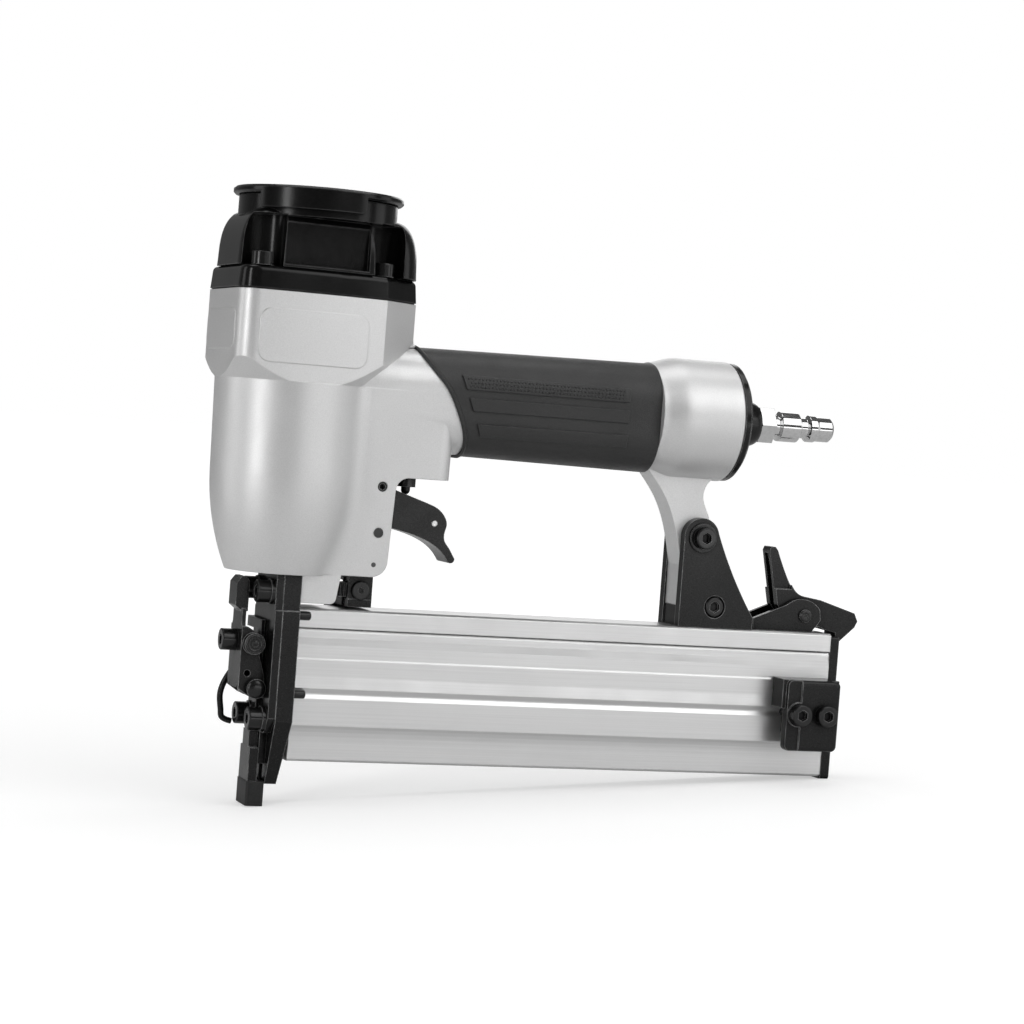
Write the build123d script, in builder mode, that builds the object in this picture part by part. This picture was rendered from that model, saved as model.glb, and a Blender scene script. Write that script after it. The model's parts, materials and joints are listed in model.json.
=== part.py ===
"""An air nailer: a brad nailer with a side-loading magazine, made as separate pieces.

Millimetres. +X runs rearward along the magazine, +Y to the tool's right and +Z up the driver's line.
The origin is on the driver's line, level with the sole of the tip pad.
"""
from build123d import *
import os
from math import asin, cos, degrees, hypot, radians, sin

os.makedirs("parts", exist_ok=True)

# Clearances
slide_gap = 0.3
running_gap = 0.05
seat_gap = 0.02

# Head: plan of the casting's upper block, narrowing rearward
head_over_sleeve = 8.7
head_front = 27.9
head_half_width = 27.2
head_corner_radius = 7.0
head_side_start = -14.0
head_side_radius = 180.0
head_shoulder_x = 29.3
head_rear = 46.0
head_rear_half_width = 5.0
head_tail_height = 3.0
head_panel_rise = 0.3
head_panel_corner = 4.5
side_panel_span = (-20.4, 22.4)
side_panel_height = 19.7
side_panel_margin = 6.5
front_panel_half_width = 20.2
front_panel_height = 15.0
front_panel_margin = 7.4

# Barrel under the head
shoulder_floor = 160.0
barrel_top_radius = 28.2
barrel_waist_z = 125.0
barrel_waist_radius = 27.5
barrel_floor = 88.3
barrel_floor_radius = 19.5
chamber_wall = 2.4
air_chamber_floor = 112.0

# Cylinder sleeve, piston, bumper and driver blade
cylinder_radius = 18.0
sleeve_wall = 2.0
sleeve_floor = 97.0
piston_headroom = 2.1
bumper_height = 7.6
bumper_hole_radius = 4.5
piston_height = 11.0
piston_stroke = 66.0
ring_width = 2.4
blade_thickness = 1.2
blade_width = 6.0
blade_tip = 76.0
blade_gap = 0.1

# Head valve
head_valve_height = 17.0
head_valve_radius = 20.4
head_valve_bore = 12.0
head_valve_pocket = 9.0
cap_cavity_height = 22.0

# Cap over the head
gasket_thickness = 0.5
cap_band_height = 8.4
cap_band_taper = 5.0
cap_band_round = 2.2
cap_dome_height = 21.3
cap_dome_corner = 13.0
cap_dome_rise = [(0.6, 0.0), (1.2, 9.6), (2.5, 15.2), (4.9, 19.2), (8.6, 21.3)]
cap_panel_inset = 3.4
cap_panel_height = 15.6
cap_panel_front = -12.5
cap_panel_rear = 21.0
cap_screw_front = (-19.8, 22.2)
cap_screw_rear = (28.2, 16.2)
cap_pocket_radius = 8.0

# Exhaust collar and turning deflector
deflector_x = 6.2
collar_height = 5.4
collar_wall = 3.9
collar_overhang = 2.2
deflector_radius = 32.1
deflector_rim = 2.9
deflector_crown = 1.7
skirt_wall = 1.8
skirt_turn = 76.0
skirt_middle = 250.0
deflector_screw_head = 5.2
deflector_screw_seat = 2.8

# Socket screws of the body (M5 size)
screw_radius = 2.5
screw_head_radius = 4.25
screw_head_height = 5.0
screw_socket = 2.3
cap_screw_reach = 16.0

# Handle, grip and inlet drum
handle_z = 156.8
handle_bore_radius = 12.0
grip_front = 45.0
grip_rear = 145.4
grip_height_front = 40.0
grip_height_rear = 43.0
grip_width_front = 34.0
grip_width_rear = 36.0
grip_corner = 15.0
grip_wall = 3.0
root_step = 0.4
inlet_z = 157.6
inlet_radius = 23.8
inlet_rear = 179.3
inlet_neck_radius = 21.2
inlet_bore_radius = 20.0
inlet_bore_depth = 12.0

# End cap and quick-connect plug
end_cap_flange = 3.5
end_cap_boss_radius = 10.2
end_cap_boss_length = 11.2
plug_thread_radius = 6.4
plug_hex = 8.0
plug_collar_radius = 6.0
plug_tip_radius = 4.95
plug_bore_radius = 3.4

# Trigger ears, valve boss and trigger
web_half_width = 14.0
web_foot_half_width = 13.0
valley_round = 10.0
boss_rear = 62.6
boss_corner = 6.0
ear_slot_half_width = 7.0
ear_slot_roof = 101.0
ear_slot_front = 31.0
ear_corner = 6.0
ear_rear = 40.3
ear_floor = 88.8
trigger_pivot = (35.0, 123.2)
trigger_stop = (35.0, 105.7)
trigger_eye = (59.6, 110.2)
pin_radius = 1.95
valve_x = 49.0
valve_boss_floor = 127.0
valve_bush_radius = 6.5
valve_guide_radius = 3.7
valve_guide_drop = 3.6
stem_radius = 1.75
stem_reach = 3.0
trigger_half_width = 6.5
trigger_wall = 1.8

# Nose: split at the driver's line, in front of the magazine
nose_half_width = 14.4
nose_rear = 6.7
nose_floor = 8.3
nose_taper_top = 33.0
nose_tip_half_width = 5.6
nose_tip_rear = 4.6
front_plate_thickness = 3.0
front_plate_floor = 28.0
front_tongue_half_width = 5.0
front_tongue_floor = 15.8
nose_flange_floor = 74.5
nose_flange_step = 0.8
nose_bolt_y = 9.0
nose_bolt_top = 81.2
nose_bolt_low = 33.3
nose_washer = 1.6
neck_rear = 21.2
neck_floor = 77.7
neck_half_width = 13.0
pin_y = 12.3
pin_top = 72.9
pin_low = 43.4
locating_pin_radius = 1.7
locating_pin_reach = 4.7

# Contact foot with tip pad and its link to the trigger
foot_front = 6.9
foot_half_width = 6.4
foot_shin_top = 22.0
foot_neck_top = 28.2
foot_neck_half_width = 4.0
tongue_half_width = 2.7
tongue_thickness = 1.5
arm_floor = 66.0
arm_height = 4.0
pad_height = 9.2
pad_front = 7.2
pad_rear = 0.3
pad_half_width = 7.4
link_y = 15.0
link_thickness = 2.0
link_rear = 37.0
shelf_floor = 76.6
shelf_top = 79.6
bracket_front = 27.4
bracket_top = 88.3
bracket_half_width = 5.4
bracket_wall = 1.3
bracket_screw_spot = (32.2, 83.0)
bracket_screw_head = 3.6
wheel_x = 28.2
wheel_radius = 3.9
wheel_floor = 80.2
wheel_height = 5.4

# Toggle latch on the nose
lever_pivot = (-7.0, 44.5)
lever_pin_radius = 1.9
lug_radius = 3.7
lug_inner = 3.1
lug_outer = 6.2
lever_wall = 1.6
lever_cheek_inner = 6.5
lever_web_front = 13.5
lever_web_foot = 44.2
lever_neck_half_width = 6.4
lever_boss = (-8.8, 61.3)
lever_boss_radius = 4.0
tab_floor = 73.0
tab_top = 86.0
tab_front = 16.0
tab_rear = 11.0
tab_half_width = 5.0
lever_screw_z = 61.8
bail_radius = 1.15
bail_pivot = (-10.4, 50.0)

# Magazine: fixed rail above, ridged cover sliding below
magazine_rear = 230.6
rail_half_width = 10.5
rail_top = 75.7
rail_floor = 68.4
cover_floor = 17.7
cover_wall = 3.0
core_inner = 0.8
core_outer = 6.0
core_floor = 21.0
core_flange = 3.0
core_flange_outer = 7.1
rear_plate_thickness = 4.0
rear_plate_drop = 0.9
rear_plate_top = 74.6
pusher_length = 26.0
pusher_start = 18.0
rod_y = -4.2
rod_z = 57.0
rod_radius = 1.2

# Finger pull on the magazine cover
pull_outer = 22.4
pull_flange = 4.3
pull_front = 207.8
pull_rear = 231.0
pull_step_x = 213.8
pull_step = 0.8
pull_floor = 29.2
pull_top = 57.6
pull_arm_front = 206.2
pull_arm_floor = 46.0
pull_boss_front = 211.0
pull_boss_floor = 35.5
pull_screw_z = 43.8
pull_screw_x = (213.0, 224.4)

# Rear foot that carries the magazine from the handle's strut
strut_half_width = 6.0
foot_plate_thickness = 4.0
foot_plate_front = 163.0
foot_screw_high = (170.8, 111.2)
foot_screw_low = (178.2, 84.1)
spacer_step_x = 171.6
spacer_step_z = 88.6

# Magazine latch behind the foot
latch_pivot = (219.6, 82.3)
latch_half_width = 5.0
latch_tab_half_width = 3.4
latch_tab_wall = 1.4
latch_tab_foot = 92.5
latch_bracket_wall = 1.8
latch_pin_radius = 1.6
latch_bracket_front = 197.0
latch_spring_radius = 2.4
latch_spring_length = 4.8


def head_plan(inset, corner_radius):
    """Plan of the head with its front corners rounded, drawn inward by the inset."""
    turn = degrees(asin((head_shoulder_x - head_side_start) / head_side_radius))
    with BuildSketch() as plan:
        with BuildLine():
            front = Line((-head_front, 0), (-head_front, corner_radius - head_half_width))
            corner = JernArc(front @ 1, (0, -1), corner_radius, 90)
            side = Line(corner @ 1, (head_side_start, -head_half_width))
            flank = JernArc(side @ 1, (1, 0), head_side_radius, turn)
            facet = Line(flank @ 1, (head_rear, -head_rear_half_width))
            Line(facet @ 1, (head_rear, 0))
            mirror(about=Plane.XZ)
        make_face()
        if inset:
            offset(amount=-inset, kind=Kind.INTERSECTION)
    return plan.sketch


def dome_plan(inset):
    """Plan of the cap's dome: the head's plan with soft corners and a round rear, drawn inward."""
    turn = degrees(asin((head_shoulder_x - head_side_start) / head_side_radius))
    with BuildSketch() as plan:
        with BuildLine():
            front = Line((inset - head_front, 0), (inset - head_front, cap_dome_corner - head_half_width))
            corner = JernArc(front @ 1, (0, -1), cap_dome_corner - inset, 90)
            side = Line(corner @ 1, (head_side_start, inset - head_half_width))
            flank = JernArc(side @ 1, (1, 0), head_side_radius - inset, turn)
            Spline(flank @ 1, (head_rear - inset, 0), tangents=(flank % 1, (0, 1)))
            mirror(about=Plane.XZ)
        make_face()
    return plan.sketch


def head_panels():
    """Raised panels across the head's sides and on its front."""
    side_length = side_panel_span[1] - side_panel_span[0]
    side_middle = head_top - side_panel_margin - side_panel_height / 2
    front_middle = head_top - front_panel_margin - front_panel_height / 2
    with BuildPart() as outlines:
        with BuildSketch(Plane.XZ):
            with Locations((sum(side_panel_span) / 2, side_middle)):
                RectangleRounded(side_length, side_panel_height, head_panel_corner)
        extrude(amount=2 * head_half_width, both=True)
        with BuildSketch(Plane((0, 0, front_middle), x_dir=(0, 1, 0), z_dir=(-1, 0, 0))):
            RectangleRounded(2 * front_panel_half_width, front_panel_height, head_panel_corner)
        extrude(amount=2 * head_front)
        with BuildSketch(Plane.XY.offset(shoulder_floor)):
            add(head_plan(-head_panel_rise, head_corner_radius))
        extrude(amount=head_top - shoulder_floor, mode=Mode.INTERSECT)
    return outlines.part


def head_block():
    """The casting's upper block with its panels, its corners cut back to the barrel by a cone."""
    rise = head_top - shoulder_floor
    with BuildPart() as block:
        with BuildSketch(Plane.XY.offset(shoulder_floor)):
            add(head_plan(0, head_corner_radius))
        extrude(amount=rise)
        add(head_panels())
        with BuildSketch(Plane.XZ):
            with BuildLine():
                Polyline((0, shoulder_floor), (barrel_top_radius, shoulder_floor),
                         (barrel_top_radius + rise, head_top), (0, head_top), close=True)
            make_face()
        revolve(axis=Axis.Z, mode=Mode.INTERSECT)
    return block.part


def head_tail():
    """The small fillet between the head's rear and the top of the handle."""
    with BuildPart() as tail:
        with BuildSketch(Plane.XZ):
            with BuildLine():
                curve = RadiusArc((head_rear, root_top + head_tail_height),
                                  (head_rear + head_tail_height, root_top), -head_tail_height)
                Polyline(curve @ 1, (head_rear - 4, root_top), (head_rear - 4, root_top + head_tail_height),
                         curve @ 0)
            make_face()
        extrude(amount=head_rear_half_width, both=True)
    return tail.part


def web_block():
    """The web behind the barrel: valve boss above, trigger ears below, its sides drawn in downward."""
    with BuildPart() as web:
        with BuildSketch(Plane.XZ):
            with BuildLine():
                Polyline((0, shoulder_floor), (0, ear_floor), (ear_rear - 0.8, ear_floor),
                         (ear_rear, valve_boss_floor - 5))
                curl = RadiusArc((ear_rear, valve_boss_floor - 5), (ear_rear + 5, valve_boss_floor), 5)
                Polyline(curl @ 1, (boss_rear, valve_boss_floor), (boss_rear, root_waist),
                         (boss_rear - 12, shoulder_floor), (0, shoulder_floor))
            make_face()
            fillet(vertices().group_by(Axis.Y)[0].sort_by(Axis.X)[-1], ear_corner)
        extrude(amount=2 * web_half_width, both=True)
        with BuildSketch(Plane.YZ):
            with BuildLine():
                Polyline((-web_foot_half_width, ear_floor), (web_foot_half_width, ear_floor),
                         (web_head_half_width, root_waist), (web_head_half_width, shoulder_floor),
                         (-web_head_half_width, shoulder_floor), (-web_head_half_width, root_waist),
                         close=True)
            make_face()
        extrude(amount=boss_rear, mode=Mode.INTERSECT)
        boss_edges = web.faces().sort_by(Axis.X)[-1].edges()
        fillet(boss_edges.filter_by(lambda edge: abs(edge.center().Y) > boss_corner), boss_corner)
    return web.part


def handle_bar(start, end, inset):
    """A length of the handle's tapering bar, drawn inward by the inset."""
    with BuildPart() as bar:
        for x in (start, end):
            share = (x - grip_front) / (grip_rear - grip_front)
            height = grip_height_front + share * (grip_height_rear - grip_height_front)
            width = grip_width_front + share * (grip_width_rear - grip_width_front)
            with BuildSketch(Plane((x, 0, handle_z), x_dir=(0, 1, 0), z_dir=(1, 0, 0))):
                RectangleRounded(width - 2 * inset, height - 2 * inset, grip_corner - inset)
        loft()
    return bar.part


def grip_zone(shift):
    """The space behind the grip's curved front edge, moved forward by the shift."""
    with BuildPart() as zone:
        with BuildSketch(Plane.XZ):
            with BuildLine():
                edge = Spline((46.4, 180.6), (51.8, 169.4), (58.2, 161.6), (62.9, 152.6), (65.8, 145.2),
                              (67.4, 138.6), (67.2, 131.0))
                Polyline(edge @ 1, (grip_rear, 131.0), (grip_rear, 180.0), edge @ 0)
            make_face()
        extrude(amount=grip_width_rear, both=True)
    return zone.part.moved(Location((-shift, 0, 0)))


def socket_screw(seat, radius, reach, head_radius, head_height, socket):
    """A socket screw whose head stands on the seat plane and whose shank runs into it."""
    with BuildPart(seat) as screw:
        Cylinder(head_radius, head_height, align=(Align.CENTER, Align.CENTER, Align.MIN))
        fillet(screw.edges().filter_by(GeomType.CIRCLE).sort_by(Axis(seat.origin, seat.z_dir))[-1], 0.5)
        Cylinder(radius, reach, align=(Align.CENTER, Align.CENTER, Align.MAX))
        with BuildSketch(seat.offset(head_height)):
            RegularPolygon(socket, 6)
        extrude(amount=-0.6 * head_height, mode=Mode.SUBTRACT)
    return screw.part


def o_ring(centre, axis, ring_radius, cord_radius):
    """A round seal about an axis."""
    with BuildPart(Plane(centre, z_dir=axis)) as ring:
        Torus(ring_radius, cord_radius)
    return ring.part


def coil_spring(plane, radius, wire, length, turns):
    """A compression spring standing on the plane."""
    pitch = (length - 2 * wire) / turns
    print("spring gap between turns", round(pitch - 2 * wire, 2))
    with BuildPart() as spring:
        with BuildLine() as path:
            Helix(pitch, pitch * turns, radius, center=plane.offset(wire).origin, direction=plane.z_dir)
        with BuildSketch(Plane(path.line @ 0, z_dir=path.line % 0)):
            Circle(wire)
        sweep(path=path.line, is_frenet=True)
    return spring.part


def finish(piece, name):
    """Name a finished piece and write it."""
    piece.part.label = name
    export_step(piece.part, "parts/" + name + ".step")


flank_offset = hypot(head_side_start, head_side_radius - head_half_width)
air_chamber_radius = head_side_radius - flank_offset - chamber_wall
piston_foot = sleeve_floor + bumper_height + slide_gap + piston_stroke
sleeve_top = piston_foot + piston_height + piston_headroom
head_top = sleeve_top + head_over_sleeve
root_top = handle_z + grip_height_front / 2 - root_step
root_waist = handle_z - grip_height_front / 2 + grip_corner
web_head_half_width = grip_width_front / 2 - root_step
cap_floor = head_top + gasket_thickness
cap_ledge = cap_floor + cap_band_height
cap_dome_top = cap_ledge + cap_dome_height
collar_top = cap_dome_top + collar_height
collar_radius = deflector_radius - collar_overhang
exhaust_radius = collar_radius - collar_wall
stem_foot = valve_boss_floor - valve_guide_drop - stem_reach
head_valve_foot = sleeve_top + slide_gap
cap_ceiling = cap_floor + cap_cavity_height
strut_outline_foot = 83.9
cap_screw_spots = [(x, side * y) for x, y in (cap_screw_front, cap_screw_rear) for side in (-1, 1)]
nose_bolt_spots = [(side * nose_bolt_y, z) for z in (nose_bolt_top, nose_bolt_low) for side in (-1, 1)]
inlet_axis = Axis((0, 0, inlet_z), (1, 0, 0))

# Main housing: head, barrel, web with trigger ears, handle core, inlet drum and strut in one casting
with BuildPart() as main_housing:
    with BuildSketch(Plane.XZ):
        with BuildLine():
            wall = Line((barrel_top_radius, shoulder_floor), (barrel_waist_radius, barrel_waist_z))
            sweep_in = TangentArc(wall @ 1, (barrel_floor_radius, barrel_floor), tangent=wall % 1)
            Polyline(sweep_in @ 1, (0, barrel_floor), (0, shoulder_floor), wall @ 0)
        make_face()
    revolve(axis=Axis.Z)
    barrel_edges = main_housing.edges()
    add(web_block())
    valleys = [edge for edge in main_housing.edges() - barrel_edges
               if edge.bounding_box().max.X < ear_slot_front and abs(edge.center().Y) > ear_slot_half_width
               and edge.bounding_box().size.Z > 3]
    fillet(valleys, valley_round)
    add(head_block())
    add(head_tail() - grip_zone(seat_gap))
    # Slot between the ears for the trigger and the depth wheel
    wheel_front = wheel_x - wheel_radius - 0.8
    with BuildSketch(Plane.XZ):
        with BuildLine():
            Polyline((wheel_front, ear_floor - 1), (wheel_front, ear_slot_roof),
                     (ear_slot_front, ear_slot_roof), (ear_slot_front, valve_boss_floor),
                     (ear_rear + 6, valve_boss_floor),
                     (ear_rear + 6, ear_floor - 1), close=True)
        make_face()
    extrude(amount=ear_slot_half_width, both=True, mode=Mode.SUBTRACT)
    # Neck that the nose bolts to
    with BuildSketch(Plane.XZ):
        with BuildLine():
            Polyline((nose_rear, barrel_floor + 6), (nose_rear, neck_floor),
                     (neck_rear - 1, neck_floor),
                     (neck_rear + 1.5, barrel_floor + 6), close=True)
        make_face()
        fillet(vertices().group_by(Axis.Y)[0].sort_by(Axis.X)[-1], 2.5)
    extrude(amount=neck_half_width, both=True)
    # Handle: full section up to the grip's edge, a thinner core under the grip
    add(handle_bar(20, grip_rear + 4, grip_wall + seat_gap))
    root = handle_bar(20, 2 * grip_front, root_step) - grip_zone(seat_gap)
    add(root)
    # Inlet drum
    with BuildSketch(Plane.XZ):
        with BuildLine():
            throat = Line((grip_rear + seat_gap, inlet_z),
                          (grip_rear + seat_gap, inlet_z + inlet_neck_radius))
            flare = Spline(throat @ 1, (157.5, inlet_z + inlet_radius), tangents=((1, 0.1), (1, 0)))
            Polyline(flare @ 1, (inlet_rear - 0.8, inlet_z + inlet_radius),
                     (inlet_rear, inlet_z + inlet_radius - 0.8),
                     (inlet_rear, inlet_z), throat @ 0)
        make_face()
    revolve(axis=inlet_axis)
    # Strut down to the rear foot
    with BuildSketch(Plane.XZ):
        with BuildLine():
            fore = Spline((grip_rear + seat_gap, 138.4), (148.8, 134.4), (154.8, 126.6), (160.9, 112.4),
                          (163.6, 100.0))
            Polyline(fore @ 1, (163.8, strut_outline_foot), (spacer_step_x, strut_outline_foot),
                     (spacer_step_x, spacer_step_z), (185.4, spacer_step_z), (176.6, 112.6))
            rear = Spline((176.6, 112.6), (174.6, 119.2), (171.4, 127.4), (172.7, 132.4), (177.0, 136.4),
                          tangents=((-0.33, 0.94), (0.8, 0.6)))
            Polyline(rear @ 1, (177.0, 141.0), (146.0, 141.0), fore @ 0)
        make_face()
    extrude(amount=strut_half_width, both=True)
    # Bores: air chamber, sleeve seat, blade hole, handle chamber, valve, inlet, pins and screws
    with Locations((0, 0, air_chamber_floor)):
        Cylinder(air_chamber_radius, head_top - air_chamber_floor,
                 align=(Align.CENTER, Align.CENTER, Align.MIN), mode=Mode.SUBTRACT)
    with Locations((0, 0, sleeve_floor)):
        Cylinder(cylinder_radius + sleeve_wall + running_gap, air_chamber_floor - sleeve_floor,
                 align=(Align.CENTER, Align.CENTER, Align.MIN), mode=Mode.SUBTRACT)
    Cylinder(bumper_hole_radius, sleeve_floor, align=(Align.CENTER, Align.CENTER, Align.MIN),
             mode=Mode.SUBTRACT)
    with BuildSketch(Plane((20, 0, handle_z), x_dir=(0, 1, 0), z_dir=(1, 0, 0))):
        Circle(handle_bore_radius)
    extrude(amount=inlet_rear - 20, mode=Mode.SUBTRACT)
    with BuildSketch(Plane((inlet_rear, 0, inlet_z), x_dir=(0, 1, 0), z_dir=(-1, 0, 0))):
        Circle(inlet_bore_radius)
    extrude(amount=inlet_bore_depth, mode=Mode.SUBTRACT)
    with Locations((valve_x, 0, valve_boss_floor)):
        Cylinder(valve_bush_radius + seat_gap, handle_z - valve_boss_floor,
                 align=(Align.CENTER, Align.CENTER, Align.MIN), mode=Mode.SUBTRACT)
    for x, z in (trigger_pivot, trigger_stop):
        with Locations(Plane((x, 0, z), z_dir=(0, 1, 0))):
            Cylinder(pin_radius, 4 * web_half_width, mode=Mode.SUBTRACT)
    for x, y in cap_screw_spots:
        with Locations((x, y, head_top)):
            Cylinder(screw_radius + running_gap, cap_screw_reach,
                     align=(Align.CENTER, Align.CENTER, Align.MAX), mode=Mode.SUBTRACT)
    for side in (-1, 1):
        with Locations(Plane((nose_rear, side * nose_bolt_y, nose_bolt_top), z_dir=(1, 0, 0))):
            Cylinder(screw_radius + running_gap, 11,
                     align=(Align.CENTER, Align.CENTER, Align.MIN), mode=Mode.SUBTRACT)
    with Locations(Plane((foot_screw_high[0], 0, foot_screw_high[1]), z_dir=(0, 1, 0))):
        Cylinder(screw_radius + running_gap, 2 * strut_half_width, mode=Mode.SUBTRACT)
finish(main_housing, "main_housing")

# Cylinder sleeve with its lower seal
with BuildPart() as cylinder_sleeve:
    with Locations((0, 0, sleeve_floor)):
        Cylinder(cylinder_radius + sleeve_wall, sleeve_top - sleeve_floor,
                 align=(Align.CENTER, Align.CENTER, Align.MIN))
        Cylinder(cylinder_radius, sleeve_top - sleeve_floor,
                 align=(Align.CENTER, Align.CENTER, Align.MIN), mode=Mode.SUBTRACT)
    with Locations((0, 0, air_chamber_floor)):
        Cylinder(air_chamber_radius - slide_gap, 3, align=(Align.CENTER, Align.CENTER, Align.MIN))
        Cylinder(cylinder_radius, 3, align=(Align.CENTER, Align.CENTER, Align.MIN), mode=Mode.SUBTRACT)
finish(cylinder_sleeve, "cylinder_sleeve")

with BuildPart() as bumper:
    with Locations((0, 0, sleeve_floor)):
        Cylinder(cylinder_radius - running_gap, bumper_height,
                 align=(Align.CENTER, Align.CENTER, Align.MIN))
        Cylinder(bumper_hole_radius, bumper_height,
                 align=(Align.CENTER, Align.CENTER, Align.MIN), mode=Mode.SUBTRACT)
    fillet(bumper.edges().group_by(Axis.Z)[-1], 1.2)
finish(bumper, "bumper")

# Piston with its ring, the driver blade and the pin that joins them
ring_z = piston_foot + piston_height - 4.0
with BuildPart() as piston:
    with Locations((0, 0, piston_foot)):
        Cylinder(cylinder_radius - slide_gap, piston_height,
                 align=(Align.CENTER, Align.CENTER, Align.MIN))
    with Locations((0, 0, ring_z)):
        Cylinder(cylinder_radius, ring_width + 2 * seat_gap, mode=Mode.SUBTRACT)
        Cylinder(cylinder_radius - 2.6, ring_width + 2 * seat_gap)
    with Locations((0, 0, piston_foot)):
        Box(blade_thickness + 2 * blade_gap, blade_width + 2 * blade_gap, 7,
            align=(Align.CENTER, Align.CENTER, Align.MIN), mode=Mode.SUBTRACT)
    with Locations(Plane((0, 0, piston_foot + 3.4), z_dir=(1, 0, 0))):
        Cylinder(1.5 + seat_gap, 2 * cylinder_radius, mode=Mode.SUBTRACT)
    with Locations((0, 0, piston_foot + piston_height)):
        Cylinder(10, 1.5, align=(Align.CENTER, Align.CENTER, Align.MAX), mode=Mode.SUBTRACT)
finish(piston, "piston")

with BuildPart() as piston_ring:
    with Locations((0, 0, ring_z)):
        Cylinder(cylinder_radius - running_gap, ring_width)
        Cylinder(cylinder_radius - 2.6 + seat_gap, ring_width, mode=Mode.SUBTRACT)
finish(piston_ring, "piston_ring")

with BuildPart() as driver_blade:
    with Locations((0, 0, blade_tip)):
        Box(blade_thickness, blade_width, piston_foot + 6.8 - blade_tip,
            align=(Align.CENTER, Align.CENTER, Align.MIN))
    with Locations(Plane((0, 0, piston_foot + 3.4), z_dir=(1, 0, 0))):
        Cylinder(1.5 + seat_gap, 2 * blade_thickness, mode=Mode.SUBTRACT)
finish(driver_blade, "driver_blade")

with BuildPart() as blade_pin:
    with Locations(Plane((0, 0, piston_foot + 3.4), z_dir=(1, 0, 0))):
        Cylinder(1.5, 2 * (cylinder_radius - 2))
finish(blade_pin, "blade_pin")

# Head valve, its seal and its spring
seal_z = head_valve_foot + head_valve_height - 3.0
with BuildPart() as head_valve:
    with Locations((0, 0, head_valve_foot)):
        Cylinder(head_valve_radius, head_valve_height, align=(Align.CENTER, Align.CENTER, Align.MIN))
        Cylinder(5.0, head_valve_height, align=(Align.CENTER, Align.CENTER, Align.MIN),
                 mode=Mode.SUBTRACT)
    with Locations((0, 0, head_valve_foot + head_valve_height)):
        Cylinder(head_valve_bore, head_valve_pocket,
                 align=(Align.CENTER, Align.CENTER, Align.MAX), mode=Mode.SUBTRACT)
    add(o_ring((0, 0, seal_z), (0, 0, 1), head_valve_radius - 0.7, 0.9 + seat_gap), mode=Mode.SUBTRACT)
finish(head_valve, "head_valve")

with BuildPart() as head_valve_seal:
    add(o_ring((0, 0, seal_z), (0, 0, 1), head_valve_radius - 0.7, 0.9))
finish(head_valve_seal, "head_valve_seal")

spring_seat = head_valve_foot + head_valve_height - head_valve_pocket
with BuildPart() as head_valve_spring:
    add(coil_spring(Plane.XY.offset(spring_seat + running_gap), 9.5, 0.8,
                    cap_ceiling - spring_seat - 2 * running_gap, 6))
finish(head_valve_spring, "head_valve_spring")

# Top cap: band, dome with screw pockets and side panels, exhaust collar
with BuildPart() as top_cap:
    with BuildSketch(Plane.XY.offset(cap_floor)):
        add(head_plan(0, head_corner_radius))
    extrude(amount=cap_band_height, taper=cap_band_taper)
    fillet(top_cap.faces().sort_by(Axis.Z)[-1].edges(), cap_band_round)
    for inset, rise in cap_dome_rise:
        with BuildSketch(Plane.XY.offset(cap_ledge + rise)):
            add(dome_plan(inset))
    loft()
    with BuildSketch(Plane.XY.offset(cap_ledge + 1)):
        with Locations((cap_panel_front, 0)):
            Rectangle(cap_panel_rear - cap_panel_front, 4 * head_half_width, align=(Align.MIN, Align.CENTER))
        add(head_plan(cap_panel_inset, head_corner_radius), mode=Mode.SUBTRACT)
    extrude(amount=cap_panel_height, mode=Mode.SUBTRACT)
    with Locations((deflector_x, 0, cap_dome_top - 2.4)):
        Cylinder(collar_radius, collar_top - cap_dome_top + 2.4,
                 align=(Align.CENTER, Align.CENTER, Align.MIN))
    for x, y in cap_screw_spots:
        with Locations((x, y, cap_ledge)):
            Cylinder(cap_pocket_radius, cap_dome_top - cap_ledge - 2,
                     align=(Align.CENTER, Align.CENTER, Align.MIN), mode=Mode.SUBTRACT)
            Cylinder(screw_radius + running_gap, 2 * cap_band_height, mode=Mode.SUBTRACT)
    with Locations((0, 0, cap_floor)):
        Cylinder(head_valve_radius + slide_gap, cap_cavity_height,
                 align=(Align.CENTER, Align.CENTER, Align.MIN), mode=Mode.SUBTRACT)
    with Locations((deflector_x, 0, collar_top)):
        Cylinder(exhaust_radius, 5, align=(Align.CENTER, Align.CENTER, Align.MAX), mode=Mode.SUBTRACT)
        Cylinder(7, 5, align=(Align.CENTER, Align.CENTER, Align.MAX))
    with Locations((0, 0, cap_ceiling)):
        with PolarLocations(14, 6):
            Cylinder(3.5, 12, align=(Align.CENTER, Align.CENTER, Align.MIN), mode=Mode.SUBTRACT)
    with Locations((deflector_x, 0, collar_top)):
        Cylinder(screw_radius + running_gap, 11, align=(Align.CENTER, Align.CENTER, Align.MAX),
                 mode=Mode.SUBTRACT)
finish(top_cap, "top_cap")

with BuildPart() as cap_gasket:
    with BuildSketch(Plane.XY.offset(head_top)):
        add(head_plan(0.6, head_corner_radius))
        Circle(air_chamber_radius, mode=Mode.SUBTRACT)
        with Locations(*cap_screw_spots):
            Circle(screw_radius + running_gap, mode=Mode.SUBTRACT)
    extrude(amount=gasket_thickness)
finish(cap_gasket, "cap_gasket")

with BuildPart() as cap_screws:
    for x, y in cap_screw_spots:
        add(socket_screw(Plane((x, y, cap_ledge), z_dir=(0, 0, 1)), screw_radius,
                         cap_ledge - head_top + cap_screw_reach - 2, screw_head_radius,
                         screw_head_height,
                         screw_socket))
finish(cap_screws, "cap_screws")

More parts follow.
